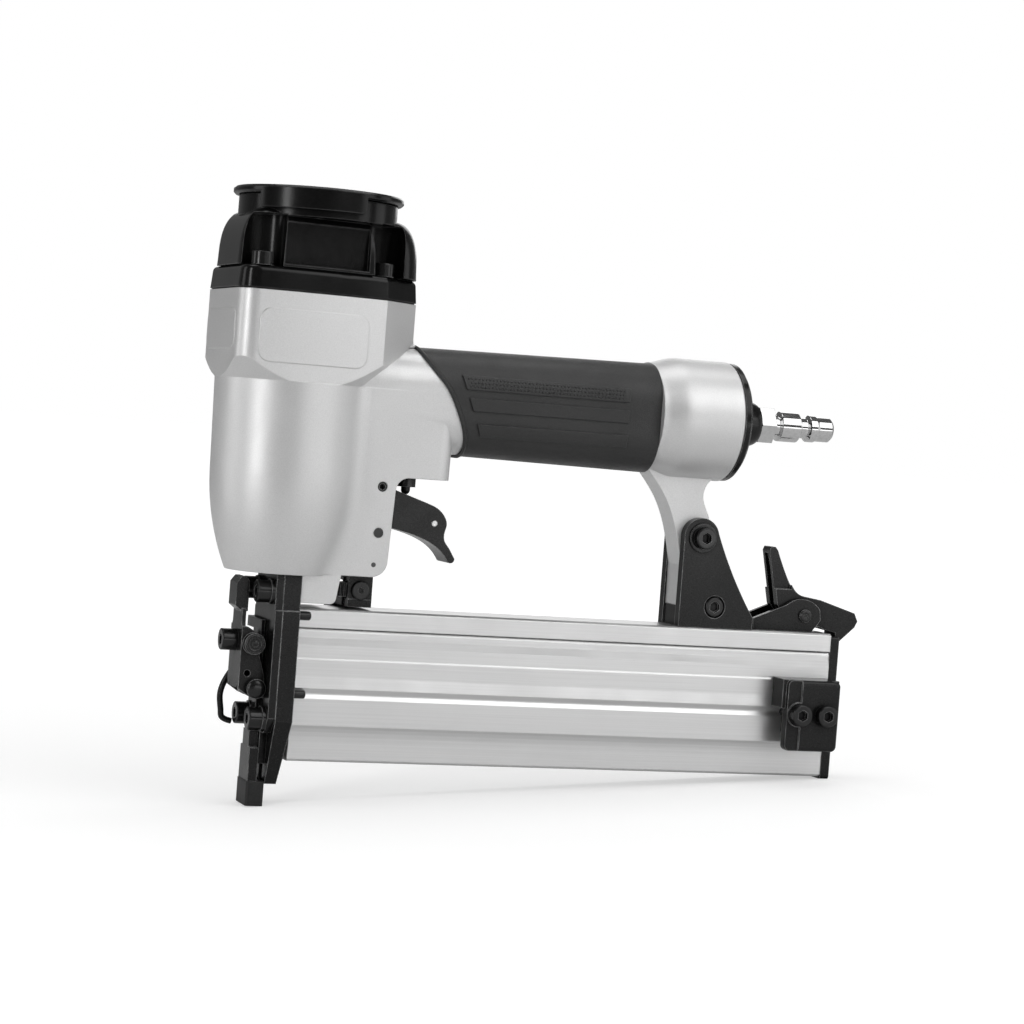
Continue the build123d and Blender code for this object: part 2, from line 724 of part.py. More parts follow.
# Exhaust deflector: a crowned disc with two skirts that turns on the collar
with BuildPart() as deflector:
    rim_floor = collar_top + slide_gap
    with BuildSketch(Plane.XZ):
        with BuildLine():
            foot = Line((screw_radius + running_gap, rim_floor), (deflector_radius - 0.8, rim_floor))
            edge = Polyline(foot @ 1, (deflector_radius, rim_floor + 0.8),
                            (deflector_radius, rim_floor + deflector_rim - 0.8),
                            (deflector_radius - 0.8, rim_floor + deflector_rim))
            middle = ((deflector_radius + screw_radius) / 2,
                      rim_floor + deflector_rim + 0.75 * deflector_crown)
            crown = ThreePointArc(edge @ 1, middle,
                                  (screw_radius + running_gap,
                                   rim_floor + deflector_rim + deflector_crown))
            Line(crown @ 1, foot @ 0)
        make_face()
    revolve(axis=Axis.Z)
    skirt_top = rim_floor + deflector_rim / 2
    with BuildSketch(Plane.XY.offset(skirt_top)):
        Circle(deflector_radius)
        Circle(deflector_radius - skirt_wall, mode=Mode.SUBTRACT)
        with BuildSketch(mode=Mode.INTERSECT):
            for middle_turn in (skirt_middle, skirt_middle - 180):
                ends = [radians(middle_turn + side * skirt_turn / 2) for side in (-1, 1)]
                reach = 2 * deflector_radius
                Polygon((0, 0), *[(reach * cos(turn), reach * sin(turn)) for turn in ends], align=None)
    extrude(amount=cap_dome_top + slide_gap - skirt_top)
    with Locations((0, 0, rim_floor + deflector_screw_seat)):
        Cylinder(deflector_screw_head + slide_gap, deflector_rim,
                 align=(Align.CENTER, Align.CENTER, Align.MIN),
                 mode=Mode.SUBTRACT)
deflector.part = deflector.part.moved(Location((deflector_x, 0, 0)))
finish(deflector, "deflector")

deflector_seat = collar_top + slide_gap + deflector_screw_seat + seat_gap
with BuildPart() as deflector_screw:
    add(socket_screw(Plane((deflector_x, 0, deflector_seat), z_dir=(0, 0, 1)), screw_radius,
                     deflector_seat - collar_top + 9, deflector_screw_head, 2.0, screw_socket))
finish(deflector_screw, "deflector_screw")

# Grip sleeve over the handle core
with BuildPart() as grip_sleeve:
    add(handle_bar(20, grip_rear, 0))
    add(grip_zone(0), mode=Mode.INTERSECT)
    add(handle_bar(20, grip_rear, grip_wall), mode=Mode.SUBTRACT)
finish(grip_sleeve, "grip_sleeve")

# Inlet end cap with its seal, and the quick-connect plug
flange_rear = inlet_rear + end_cap_flange
cap_boss_rear = flange_rear + end_cap_boss_length
with BuildPart() as inlet_end_cap:
    with BuildSketch(Plane.XZ):
        with BuildLine():
            Polyline((inlet_rear - inlet_bore_depth + 1, inlet_z),
                     (inlet_rear - inlet_bore_depth + 1, inlet_z + 19.9),
                     (inlet_rear, inlet_z + 19.9), (inlet_rear, inlet_z + inlet_radius - 0.3),
                     (flange_rear - 1.2, inlet_z + inlet_radius - 0.3),
                     (flange_rear, inlet_z + inlet_radius - 1.8),
                     (flange_rear, inlet_z), close=True)
        make_face()
    revolve(axis=inlet_axis)
    with BuildSketch(Plane.XZ):
        with BuildLine():
            side = Line((flange_rear, inlet_z), (flange_rear, inlet_z + end_cap_boss_radius))
            shoulder = (flange_rear + 0.6 * end_cap_boss_length, inlet_z + end_cap_boss_radius - 0.9)
            dome = Spline(side @ 1, shoulder, (cap_boss_rear, inlet_z + plug_hex - 0.4),
                          tangents=((1, 0), (1, -1)))
            Polyline(dome @ 1, (cap_boss_rear, inlet_z), side @ 0)
        make_face()
    revolve(axis=inlet_axis)
    with BuildSketch(Plane((cap_boss_rear, 0, inlet_z), x_dir=(0, 1, 0), z_dir=(-1, 0, 0))):
        Circle(plug_thread_radius + seat_gap)
    extrude(amount=40, mode=Mode.SUBTRACT)
    add(o_ring((inlet_rear - 6, 0, inlet_z), (1, 0, 0), 19.2, 0.75 + seat_gap), mode=Mode.SUBTRACT)
finish(inlet_end_cap, "inlet_end_cap")

with BuildPart() as end_cap_seal:
    add(o_ring((inlet_rear - 6, 0, inlet_z), (1, 0, 0), 19.2, 0.75))
finish(end_cap_seal, "end_cap_seal")

with BuildPart() as air_plug:
    with BuildSketch(Plane((cap_boss_rear + seat_gap, 0, inlet_z), x_dir=(0, 1, 0), z_dir=(1, 0, 0))):
        RegularPolygon(plug_hex, 6)
    extrude(amount=6.4)
    with BuildSketch(Plane.XZ):
        with BuildLine():
            hex_rear = cap_boss_rear + seat_gap + 6.4
            outline = Polyline((cap_boss_rear - 9, inlet_z),
                               (cap_boss_rear - 9, inlet_z + plug_thread_radius),
                               (hex_rear, inlet_z + plug_thread_radius), (hex_rear + 1.2, inlet_z + 4.6),
                               (hex_rear + 2.8, inlet_z + 4.6),
                               (hex_rear + 3.8, inlet_z + plug_collar_radius),
                               (hex_rear + 11.8, inlet_z + plug_collar_radius),
                               (hex_rear + 13.0, inlet_z + 4.1),
                               (hex_rear + 15.8, inlet_z + 4.1), (hex_rear + 16.8, inlet_z + 5.4),
                               (hex_rear + 19.6, inlet_z + 5.4),
                               (hex_rear + 20.6, inlet_z + plug_tip_radius),
                               (hex_rear + 26.2, inlet_z + plug_tip_radius),
                               (hex_rear + 27.2, inlet_z + 4.0),
                               (hex_rear + 27.2, inlet_z), close=True)
        make_face()
    revolve(axis=inlet_axis)
    with BuildSketch(Plane((cap_boss_rear - 10, 0, inlet_z), x_dir=(0, 1, 0), z_dir=(1, 0, 0))):
        Circle(plug_bore_radius)
    extrude(amount=60, mode=Mode.SUBTRACT)
finish(air_plug, "air_plug")

# Trigger valve: body in the boss, sprung stem through it, seals
valve_top = handle_z - handle_bore_radius - 1
with BuildPart() as trigger_valve_body:
    with Locations((valve_x, 0, valve_boss_floor)):
        Cylinder(valve_bush_radius, valve_top - valve_boss_floor,
                 align=(Align.CENTER, Align.CENTER, Align.MIN))
        Cylinder(valve_guide_radius, valve_guide_drop, align=(Align.CENTER, Align.CENTER, Align.MAX))
    with Locations((valve_x, 0, valve_boss_floor + 4)):
        Cylinder(4.4, valve_top - valve_boss_floor, align=(Align.CENTER, Align.CENTER, Align.MIN),
                 mode=Mode.SUBTRACT)
    with Locations((valve_x, 0, valve_boss_floor)):
        Cylinder(stem_radius + running_gap, 12, mode=Mode.SUBTRACT)
    for z in (valve_boss_floor + 5, valve_top - 3.5):
        add(o_ring((valve_x, 0, z), (0, 0, 1), valve_bush_radius - 0.5, 0.5 + seat_gap),
            mode=Mode.SUBTRACT)
finish(trigger_valve_body, "trigger_valve_body")

with BuildPart() as trigger_valve_seals:
    for z in (valve_boss_floor + 5, valve_top - 3.5):
        add(o_ring((valve_x, 0, z), (0, 0, 1), valve_bush_radius - 0.5, 0.5))
finish(trigger_valve_seals, "trigger_valve_seals")

stem_head = valve_boss_floor + 8.0
with BuildPart() as valve_stem:
    with BuildSketch(Plane.XZ):
        with BuildLine():
            dome = RadiusArc((valve_x, stem_foot), (valve_x + stem_radius, stem_foot + stem_radius),
                             -stem_radius)
            Polyline(dome @ 1, (valve_x + stem_radius, stem_head), (valve_x + 4.1, stem_head),
                     (valve_x + 4.1, stem_head + 2), (valve_x + 1.4, stem_head + 2),
                     (valve_x + 1.4, stem_head + 5),
                     (valve_x, stem_head + 5), dome @ 0)
        make_face()
    revolve(axis=Axis((valve_x, 0, 0), (0, 0, 1)))
finish(valve_stem, "valve_stem")

with BuildPart() as valve_spring:
    add(coil_spring(Plane((valve_x, 0, stem_head + 2 + running_gap), z_dir=(0, 0, 1)), 2.6, 0.35, 9.0,
                    5))
finish(valve_spring, "valve_spring")

with BuildPart() as valve_spring_cap:
    with Locations((valve_x, 0, stem_head + 2 + 9.0 + 3 * running_gap)):
        Cylinder(4.38, 1.2, align=(Align.CENTER, Align.CENTER, Align.MIN))
        Cylinder(1.6, 1.2, align=(Align.CENTER, Align.CENTER, Align.MIN), mode=Mode.SUBTRACT)
finish(valve_spring_cap, "valve_spring_cap")

with BuildPart() as trigger_pin:
    pin_end = web_half_width + 0.6
    with BuildSketch(Plane((trigger_pivot[0], -pin_end, trigger_pivot[1]), z_dir=(0, 1, 0))):
        Circle(pin_radius - seat_gap)
    extrude(amount=2 * pin_end)
    with BuildSketch(Plane((trigger_pivot[0], -pin_end, trigger_pivot[1]), z_dir=(0, 1, 0))):
        RegularPolygon(1.2, 6)
    extrude(amount=2.0, mode=Mode.SUBTRACT)
finish(trigger_pin, "trigger_pin")

with BuildPart() as trigger_stop_pin:
    with BuildSketch(Plane((trigger_stop[0], -web_half_width, trigger_stop[1]), z_dir=(0, 1, 0))):
        Circle(pin_radius - seat_gap)
    extrude(amount=2 * web_half_width)
finish(trigger_stop_pin, "trigger_stop_pin")

# Trigger: a box-section lever with a curled finger lip
with BuildPart() as trigger:
    with BuildSketch(Plane.XZ):
        with BuildLine():
            Polyline((31.2, 109.0), (31.2, 122.0), (33.0, 126.4), (37.0, 126.4),
                     (43.5, stem_foot + 1.5), (55.9, stem_foot - 2.5))
            nose_arc = Spline((55.9, stem_foot - 2.5), (61.6, 115.2), (64.6, 110.0), (63.9, 104.8),
                              tangents=((3, -1), (0.3, -2)))
            lip = Spline(nose_arc @ 1, (66.0, 101.3), (68.7, 97.2), tangents=((0.3, -2), (1.2, -1.6)))
            tip = ThreePointArc(lip @ 1, (68.0, 95.6), (66.0, 95.7))
            Spline(tip @ 1, (60.4, 101.6), (52.0, 105.2), (40.0, 107.8), (31.2, 109.0))
        make_face()
    extrude(amount=trigger_half_width, both=True)
    with BuildSketch(Plane.XZ):
        with BuildLine():
            Polyline((30, 111.2), (30, 119.2), (44.0, 119.2), (58.0, 114.8), (60.6, 110.0),
                     (59.5, 105.4),
                     (52.0, 107.8), (40.0, 110.2), close=True)
        make_face()
    extrude(amount=trigger_half_width - trigger_wall, both=True, mode=Mode.SUBTRACT)
    with Locations(Plane((trigger_pivot[0], 0, trigger_pivot[1]), z_dir=(0, 1, 0))):
        Cylinder(pin_radius + running_gap, 2 * web_half_width, mode=Mode.SUBTRACT)
    with Locations(Plane((trigger_eye[0], 0, trigger_eye[1]), z_dir=(0, 1, 0))):
        Cylinder(1.1, 2 * web_half_width, mode=Mode.SUBTRACT)
finish(trigger, "trigger")

# Nose body: guide behind the blade, tapering to the tip
with BuildPart() as nose_body:
    with Locations((0, 0, nose_taper_top)):
        Box(nose_rear, 2 * nose_half_width, nose_flange_floor - nose_taper_top,
            align=(Align.MIN, Align.CENTER, Align.MIN))
    with Locations((0, 0, nose_flange_floor)):
        Box(nose_rear, 2 * (nose_half_width - nose_flange_step), barrel_floor - nose_flange_floor,
            align=(Align.MIN, Align.CENTER, Align.MIN))
    with BuildSketch(Plane.XY.offset(nose_taper_top)):
        Rectangle(nose_rear, 2 * nose_half_width, align=(Align.MIN, Align.CENTER))
    with BuildSketch(Plane.XY.offset(nose_floor)):
        Rectangle(nose_tip_rear, 2 * nose_tip_half_width, align=(Align.MIN, Align.CENTER))
    loft()
    with Locations((0, 0, nose_floor)):
        Box(blade_thickness + 2 * blade_gap, blade_width + 2 * blade_gap, barrel_floor - nose_floor,
            align=(Align.CENTER, Align.CENTER, Align.MIN), mode=Mode.SUBTRACT)
    with Locations((0, 0, core_floor)):
        Box(nose_rear, 2 * core_inner, rail_top - 4 - core_floor,
            align=(Align.MIN, Align.CENTER, Align.MIN), mode=Mode.SUBTRACT)
    for y, z in nose_bolt_spots:
        with Locations(Plane((0, y, z), z_dir=(1, 0, 0))):
            Cylinder(screw_radius + running_gap, 2 * nose_rear, mode=Mode.SUBTRACT)
    for y in (-pin_y, pin_y):
        for z in (pin_top, pin_low):
            with Locations(Plane((nose_rear, y, z), z_dir=(1, 0, 0))):
                Cylinder(locating_pin_radius + seat_gap, 4,
                         align=(Align.CENTER, Align.CENTER, Align.MAX), mode=Mode.SUBTRACT)
finish(nose_body, "nose_body")

with BuildPart() as locating_pins:
    for y in (-pin_y, pin_y):
        for z in (pin_top, pin_low):
            with BuildSketch(Plane((nose_rear - 4, y, z), z_dir=(1, 0, 0))):
                Circle(locating_pin_radius)
            extrude(amount=4 + locating_pin_reach)
    fillet(locating_pins.faces().group_by(Axis.X)[-1].edges(), 0.9)
finish(locating_pins, "locating_pins")

# Front plate over the blade, with the lugs of the toggle latch
plate_front = -front_plate_thickness
with BuildPart() as nose_front_plate:
    with BuildSketch(Plane.YZ.offset(plate_front)):
        with BuildLine():
            flange = nose_half_width - nose_flange_step
            Polyline((-flange, barrel_floor), (-flange, nose_flange_floor),
                     (-nose_half_width, nose_flange_floor), (-nose_half_width, front_plate_floor + 6),
                     (-nose_half_width + 5, front_plate_floor),
                     (-front_tongue_half_width, front_plate_floor),
                     (-front_tongue_half_width, front_tongue_floor),
                     (front_tongue_half_width, front_tongue_floor),
                     (front_tongue_half_width, front_plate_floor),
                     (nose_half_width - 5, front_plate_floor),
                     (nose_half_width, front_plate_floor + 6), (nose_half_width, nose_flange_floor),
                     (flange, nose_flange_floor), (flange, barrel_floor), close=True)
        make_face()
    extrude(amount=front_plate_thickness)
    for side in (-1, 1):
        with BuildSketch(Plane((0, side * lug_inner, 0), x_dir=(1, 0, 0), z_dir=(0, side, 0))):
            flip = -side
            with Locations((lever_pivot[0], flip * lever_pivot[1])):
                Circle(lug_radius)
            with Locations((lever_pivot[0], flip * lever_pivot[1])):
                Rectangle(-lever_pivot[0] - front_plate_thickness, 2 * lug_radius,
                          align=(Align.MIN, Align.CENTER))
        extrude(amount=lug_outer - lug_inner)
    with Locations(Plane((*lever_pivot[:1], 0, lever_pivot[1]), z_dir=(0, 1, 0))):
        Cylinder(lever_pin_radius + seat_gap, 2 * nose_half_width, mode=Mode.SUBTRACT)
    with Locations((0, 0, front_tongue_floor)):
        Box(blade_thickness + 2 * blade_gap, blade_width + 2 * blade_gap,
            barrel_floor - front_tongue_floor,
            align=(Align.CENTER, Align.CENTER, Align.MIN), mode=Mode.SUBTRACT)
    for y, z in nose_bolt_spots:
        with Locations(Plane((0, y, z), z_dir=(1, 0, 0))):
            Cylinder(screw_radius + running_gap, 4 * front_plate_thickness, mode=Mode.SUBTRACT)
finish(nose_front_plate, "nose_front_plate")

with BuildPart() as nose_bolts:
    for y, z in nose_bolt_spots:
        reach = nose_rear + 9.5 if z == nose_bolt_top else nose_rear - 0.5
        seat = Plane((plate_front - nose_washer, y, z), z_dir=(-1, 0, 0))
        add(socket_screw(seat, screw_radius, reach + front_plate_thickness + nose_washer,
                         screw_head_radius,
                         screw_head_height, screw_socket))
finish(nose_bolts, "nose_bolts")

with BuildPart() as nose_washers:
    for y, z in nose_bolt_spots:
        with BuildSketch(Plane((plate_front, y, z), z_dir=(-1, 0, 0))):
            Circle(screw_head_radius + 0.5)
            Circle(screw_radius + running_gap, mode=Mode.SUBTRACT)
        extrude(amount=nose_washer)
finish(nose_washers, "nose_washers")

# Contact foot: shin, tongue up the nose and arm across to the link
tongue_rear = plate_front - slide_gap
tongue_front = tongue_rear - tongue_thickness
with BuildPart() as contact_foot:
    with Locations((-foot_front, 0, pad_height)):
        Box(foot_front + tongue_rear, 2 * foot_half_width, foot_shin_top - pad_height,
            align=(Align.MIN, Align.CENTER, Align.MIN))
    with Locations((-foot_front + 0.9, 0, 2.6)):
        Box(foot_front + tongue_rear - 0.9, 2 * foot_half_width - 2.4, pad_height - 2.6,
            align=(Align.MIN, Align.CENTER, Align.MIN))
    with Locations((-foot_front, 0, foot_shin_top)):
        Box(foot_front + tongue_rear, 2 * foot_neck_half_width, foot_neck_top - foot_shin_top,
            align=(Align.MIN, Align.CENTER, Align.MIN))
    with Locations((tongue_front, 0, foot_shin_top)):
        Box(tongue_thickness, 2 * tongue_half_width, arm_floor + arm_height - foot_shin_top,
            align=(Align.MIN, Align.CENTER, Align.MIN))
    with Locations((tongue_front, -tongue_half_width, arm_floor)):
        Box(tongue_thickness, tongue_half_width + link_y, arm_height,
            align=(Align.MIN, Align.MIN, Align.MIN))
finish(contact_foot, "contact_foot")

with BuildPart() as tip_pad:
    with BuildSketch(Plane.XY):
        with Locations((-(pad_front + pad_rear) / 2, 0)):
            RectangleRounded(pad_front - pad_rear, 2 * pad_half_width, 1.2)
    extrude(amount=pad_height)
    with Locations((-foot_front + 0.9, 0, 2.6)):
        Box(foot_front + tongue_rear - 0.9, 2 * foot_half_width - 2.4, pad_height,
            align=(Align.MIN, Align.CENTER, Align.MIN), mode=Mode.SUBTRACT)
    Box(2 * blade_thickness, blade_width + 2 * slide_gap, 3 * pad_height, mode=Mode.SUBTRACT)
finish(tip_pad, "tip_pad")

with BuildPart() as safety_link:
    with BuildSketch(Plane((0, link_y, 0), x_dir=(1, 0, 0), z_dir=(0, -1, 0))):
        with BuildLine():
            Polyline((tongue_front, arm_floor), (tongue_front, arm_floor + arm_height),
                     (22.0, arm_floor + arm_height),
                     (bracket_front, shelf_top), (link_rear, shelf_top), (link_rear, arm_floor),
                     close=True)
        make_face()
    extrude(amount=-link_thickness)
    with Locations((bracket_front, link_y + link_thickness, shelf_floor)):
        Box(link_rear - bracket_front, link_y + link_thickness + bracket_half_width,
            shelf_top - shelf_floor,
            align=(Align.MIN, Align.MAX, Align.MIN))
    with Locations((wheel_x, 0, shelf_top)):
        Cylinder(1.5 + running_gap, 8, mode=Mode.SUBTRACT)
finish(safety_link, "safety_link")

with BuildPart() as safety_bracket:
    with Locations((bracket_front, 0, shelf_top)):
        Box(link_rear - bracket_front, 2 * bracket_half_width, bracket_top - shelf_top,
            align=(Align.MIN, Align.CENTER, Align.MIN))
    with Locations((bracket_front, bracket_wall, shelf_top)):
        Box(link_rear - bracket_front - 2.4, 2 * bracket_half_width, bracket_top - shelf_top - 2.1,
            align=(Align.MIN, Align.CENTER, Align.MIN), mode=Mode.SUBTRACT)
    with Locations((wheel_x, 0, bracket_top)):
        Cylinder(1.5 + running_gap, 8, mode=Mode.SUBTRACT)
    with Locations(Plane((bracket_screw_spot[0], -bracket_half_width, bracket_screw_spot[1]),
                         z_dir=(0, 1, 0))):
        Cylinder(1.6 + seat_gap, 4 * bracket_wall, mode=Mode.SUBTRACT)
finish(safety_bracket, "safety_bracket")

with BuildPart() as bracket_screw:
    seat = Plane((bracket_screw_spot[0], -bracket_half_width, bracket_screw_spot[1]), z_dir=(0, -1, 0))
    add(socket_screw(seat, 1.6, bracket_wall, bracket_screw_head, 1.2, 1.2))
finish(bracket_screw, "bracket_screw")

with BuildPart() as depth_wheel:
    with Locations((wheel_x, 0, wheel_floor)):
        Cylinder(wheel_radius, wheel_height, align=(Align.CENTER, Align.CENTER, Align.MIN))
    with Locations((wheel_x, 0, shelf_floor + 0.4)):
        Cylinder(1.5, bracket_top - shelf_floor - 0.8, align=(Align.CENTER, Align.CENTER, Align.MIN))
    with Locations((wheel_x, 0, wheel_floor)):
        with PolarLocations(wheel_radius, 16):
            Cylinder(0.35, wheel_height, align=(Align.CENTER, Align.CENTER, Align.MIN),
                     mode=Mode.SUBTRACT)
finish(depth_wheel, "depth_wheel")

with BuildPart() as safety_spring:
    add(coil_spring(Plane((wheel_x, 0, bracket_top + running_gap), z_dir=(0, 0, 1)), 2.3, 0.4,
                    ear_slot_roof - bracket_top - 2 * running_gap, 6))
finish(safety_spring, "safety_spring")

# Toggle latch: stamped lever with thumb tab, its pin, front screw and wire bail
cheek_outer = lever_cheek_inner + lever_wall
web_rear = lever_web_front - lever_wall
with BuildPart() as nose_latch_lever:
    for side in (-1, 1):
        with BuildSketch(Plane((0, side * lever_cheek_inner, 0), x_dir=(1, 0, 0), z_dir=(0, -1, 0))):
            with BuildLine():
                Polyline((-lever_web_front, lever_web_foot),
                         (lever_pivot[0] - 3.0, lever_pivot[1] - 2.6),
                         (lever_pivot[0] + 3.2, lever_pivot[1] - 1.8),
                         (lever_pivot[0] + 3.2, lever_pivot[1] + 5),
                         (lever_boss[0] + 2.6, lever_boss[1] - 4.6),
                         (lever_boss[0] + lever_boss_radius, lever_boss[1]),
                         (lever_boss[0] + 2.4, lever_boss[1] + 3.4), (-web_rear + 0.6, tab_floor - 5.5),
                         (-lever_web_front, tab_floor - 5.5), close=True)
            make_face()
        extrude(amount=-side * lever_wall)
    with BuildSketch(Plane.YZ.offset(-lever_web_front)):
        with BuildLine():
            Polyline((-cheek_outer, lever_web_foot + 3), (-cheek_outer, tab_floor - 9),
                     (-lever_neck_half_width, tab_floor - 4),
                     (-lever_neck_half_width, tab_floor + 1), (lever_neck_half_width, tab_floor + 1),
                     (lever_neck_half_width, tab_floor - 4), (cheek_outer, tab_floor - 9),
                     (cheek_outer, lever_web_foot + 3),
                     (cheek_outer - 4, lever_web_foot), (-cheek_outer + 4, lever_web_foot), close=True)
        make_face()
    extrude(amount=lever_wall)
    with BuildSketch(Plane.XZ):
        with BuildLine():
            Polyline((-tab_rear, tab_floor), (-tab_rear, tab_top - 1.5), (-tab_rear - 1.5, tab_top),
                     (-tab_front + 1.8, tab_top), (-tab_front, tab_top - 2.4),
                     (-tab_front, tab_floor + 2),
                     (-lever_web_front, tab_floor), close=True)
        make_face()
    extrude(amount=tab_half_width, both=True)
    with BuildSketch(Plane((lever_boss[0], -cheek_outer, lever_boss[1]), z_dir=(0, -1, 0))):
        Circle(lever_boss_radius)
    extrude(amount=2.6)
    with Locations(Plane((lever_pivot[0], 0, lever_pivot[1]), z_dir=(0, 1, 0))):
        Cylinder(lever_pin_radius + running_gap, 2 * nose_half_width, mode=Mode.SUBTRACT)
    with Locations(Plane((bail_pivot[0], 0, bail_pivot[1]), z_dir=(0, 1, 0))):
        Cylinder(bail_radius + running_gap, 2 * nose_half_width, mode=Mode.SUBTRACT)
    with Locations(Plane((-lever_web_front, 0, lever_screw_z), z_dir=(1, 0, 0))):
        Cylinder(screw_radius + seat_gap, 4 * lever_wall, mode=Mode.SUBTRACT)
finish(nose_latch_lever, "nose_latch_lever")

with BuildPart() as lever_screw:
    add(socket_screw(Plane((-lever_web_front, 0, lever_screw_z), z_dir=(-1, 0, 0)), screw_radius, 4.0,
                     4.1, 6.0,
                     screw_socket))
finish(lever_screw, "lever_screw")

with BuildPart() as latch_pivot_pin:
    with BuildSketch(Plane((lever_pivot[0], -cheek_outer - 2.2, lever_pivot[1]), z_dir=(0, 1, 0))):
        Circle(lever_pin_radius)
    extrude(amount=2 * cheek_outer + 4.4)
    for side in (-1, 1):
        with BuildSketch(Plane((lever_pivot[0], side * (cheek_outer + slide_gap), lever_pivot[1]),
                               z_dir=(0, side, 0))):
            Circle(3.7)
        extrude(amount=2.0)
finish(latch_pivot_pin, "latch_pivot_pin")

# Magazine rail: top band with the nail guide hanging from it
with BuildPart() as magazine_rail:
    with BuildSketch(Plane.YZ.offset(nose_rear)):
        with BuildLine():
            Polyline((-rail_half_width, rail_floor), (-rail_half_width, rail_top - 0.8),
                     (-rail_half_width + 0.8, rail_top), (rail_half_width - 0.8, rail_top),
                     (rail_half_width, rail_top - 0.8), (rail_half_width, rail_floor),
                     (core_outer, rail_floor),
                     (core_outer, core_floor + core_flange),
                     (core_flange_outer, core_floor + core_flange),
                     (core_flange_outer, core_floor), (core_inner, core_floor),
                     (core_inner, rail_floor), close=True)
        make_face()
    extrude(amount=magazine_rear - nose_rear)
finish(magazine_rail, "magazine_rail")

# Magazine cover: ridged channel that slides under the rail
cover_top = rail_floor - 0.4
cover_front = nose_rear + slide_gap
cover_inner = rail_half_width - cover_wall
cover_cut = cover_floor + cover_wall - 0.3
ridge_line = [(9.0, cover_top), (9.35, 66.8), (9.35, 64.7), (9.9, 61.8), (9.9, 57.1), (10.15, 56.3),
              (10.15, 50.0), (10.5, 45.5), (9.7, 43.7), (9.7, 43.2), (10.5, 41.6), (10.5, 31.4),
              (9.95, 30.4), (9.6, 29.0), (9.45, 27.2), (9.4, 25.2), (9.4, cover_floor + 0.8),
              (8.6, cover_floor)]
with BuildPart() as magazine_cover:
    with BuildSketch(Plane.YZ.offset(cover_front)):
        with BuildLine():
            Polyline(*[(-y, z) for y, z in ridge_line], *reversed(ridge_line), close=True)
        make_face()
        with Locations((0, cover_cut)):
            Rectangle(2 * cover_inner, cover_top - cover_cut, align=(Align.CENTER, Align.MIN),
                      mode=Mode.SUBTRACT)
        rib_floor = core_floor + core_flange + slide_gap
        with Locations((cover_inner, rib_floor)):
            Rectangle(cover_inner - core_outer - slide_gap, 2.0, align=(Align.MAX, Align.MIN))
    extrude(amount=magazine_rear + slide_gap - cover_front)
    with Locations((cover_front, -cover_inner, rod_z)):
        Box(4, cover_inner + rod_y + 2.4, 8, align=(Align.MIN, Align.MIN, Align.CENTER))
    with Locations(Plane((cover_front, rod_y, rod_z), z_dir=(1, 0, 0))):
        Cylinder(rod_radius + seat_gap, 20, mode=Mode.SUBTRACT)
    for x in pull_screw_x:
        with Locations(Plane((x, -cover_inner, pull_screw_z), z_dir=(0, 1, 0))):
            Cylinder(screw_radius + seat_gap, 4 * cover_wall, mode=Mode.SUBTRACT)
finish(magazine_cover, "magazine_cover")

plate_seat = magazine_rear + slide_gap
with BuildPart() as rear_plate:
    with BuildSketch(Plane.YZ.offset(plate_seat)):
        with Locations((0, cover_floor - rear_plate_drop)):
            Rectangle(19.0, rear_plate_top - cover_floor + rear_plate_drop, align=(Align.CENTER, Align.MIN))
        fillet(vertices(), 1.2)
    extrude(amount=rear_plate_thickness)
    with Locations(Plane((plate_seat, rod_y, rod_z), z_dir=(1, 0, 0))):
        Cylinder(rod_radius + seat_gap, 20, mode=Mode.SUBTRACT)
finish(rear_plate, "rear_plate")

with BuildPart() as pusher_rod:
    with BuildSketch(Plane((cover_front + 0.5, rod_y, rod_z), z_dir=(1, 0, 0))):
        Circle(rod_radius)
    extrude(amount=plate_seat + 2.4 - cover_front - 0.5)
finish(pusher_rod, "pusher_rod")

with BuildPart() as pusher:
    with Locations((pusher_start, core_inner - slide_gap, core_floor + 1)):
        Box(pusher_length, cover_inner - slide_gap + core_inner - slide_gap, 41,
            align=(Align.MIN, Align.MAX, Align.MIN))
    with Locations((pusher_start, core_inner - slide_gap, core_floor + 1)):
        Box(pusher_length - 8, 1.4, 46, align=(Align.MIN, Align.MAX, Align.MIN))
    with Locations((pusher_start + 4, -cover_inner + slide_gap, core_floor + 5)):
        Box(pusher_length - 8, 4.2, 24, align=(Align.MIN, Align.MIN, Align.MIN), mode=Mode.SUBTRACT)
    with Locations(Plane((pusher_start, rod_y, rod_z), z_dir=(1, 0, 0))):
        Cylinder(rod_radius + running_gap, 4 * pusher_length, mode=Mode.SUBTRACT)
finish(pusher, "pusher")

pusher_rear = pusher_start + pusher_length
with BuildPart() as pusher_spring:
    add(coil_spring(Plane((pusher_rear + running_gap, rod_y, rod_z), z_dir=(1, 0, 0)), 2.2, 0.35,
                    plate_seat - pusher_rear - 2 * running_gap, 36))
finish(pusher_spring, "pusher_spring")

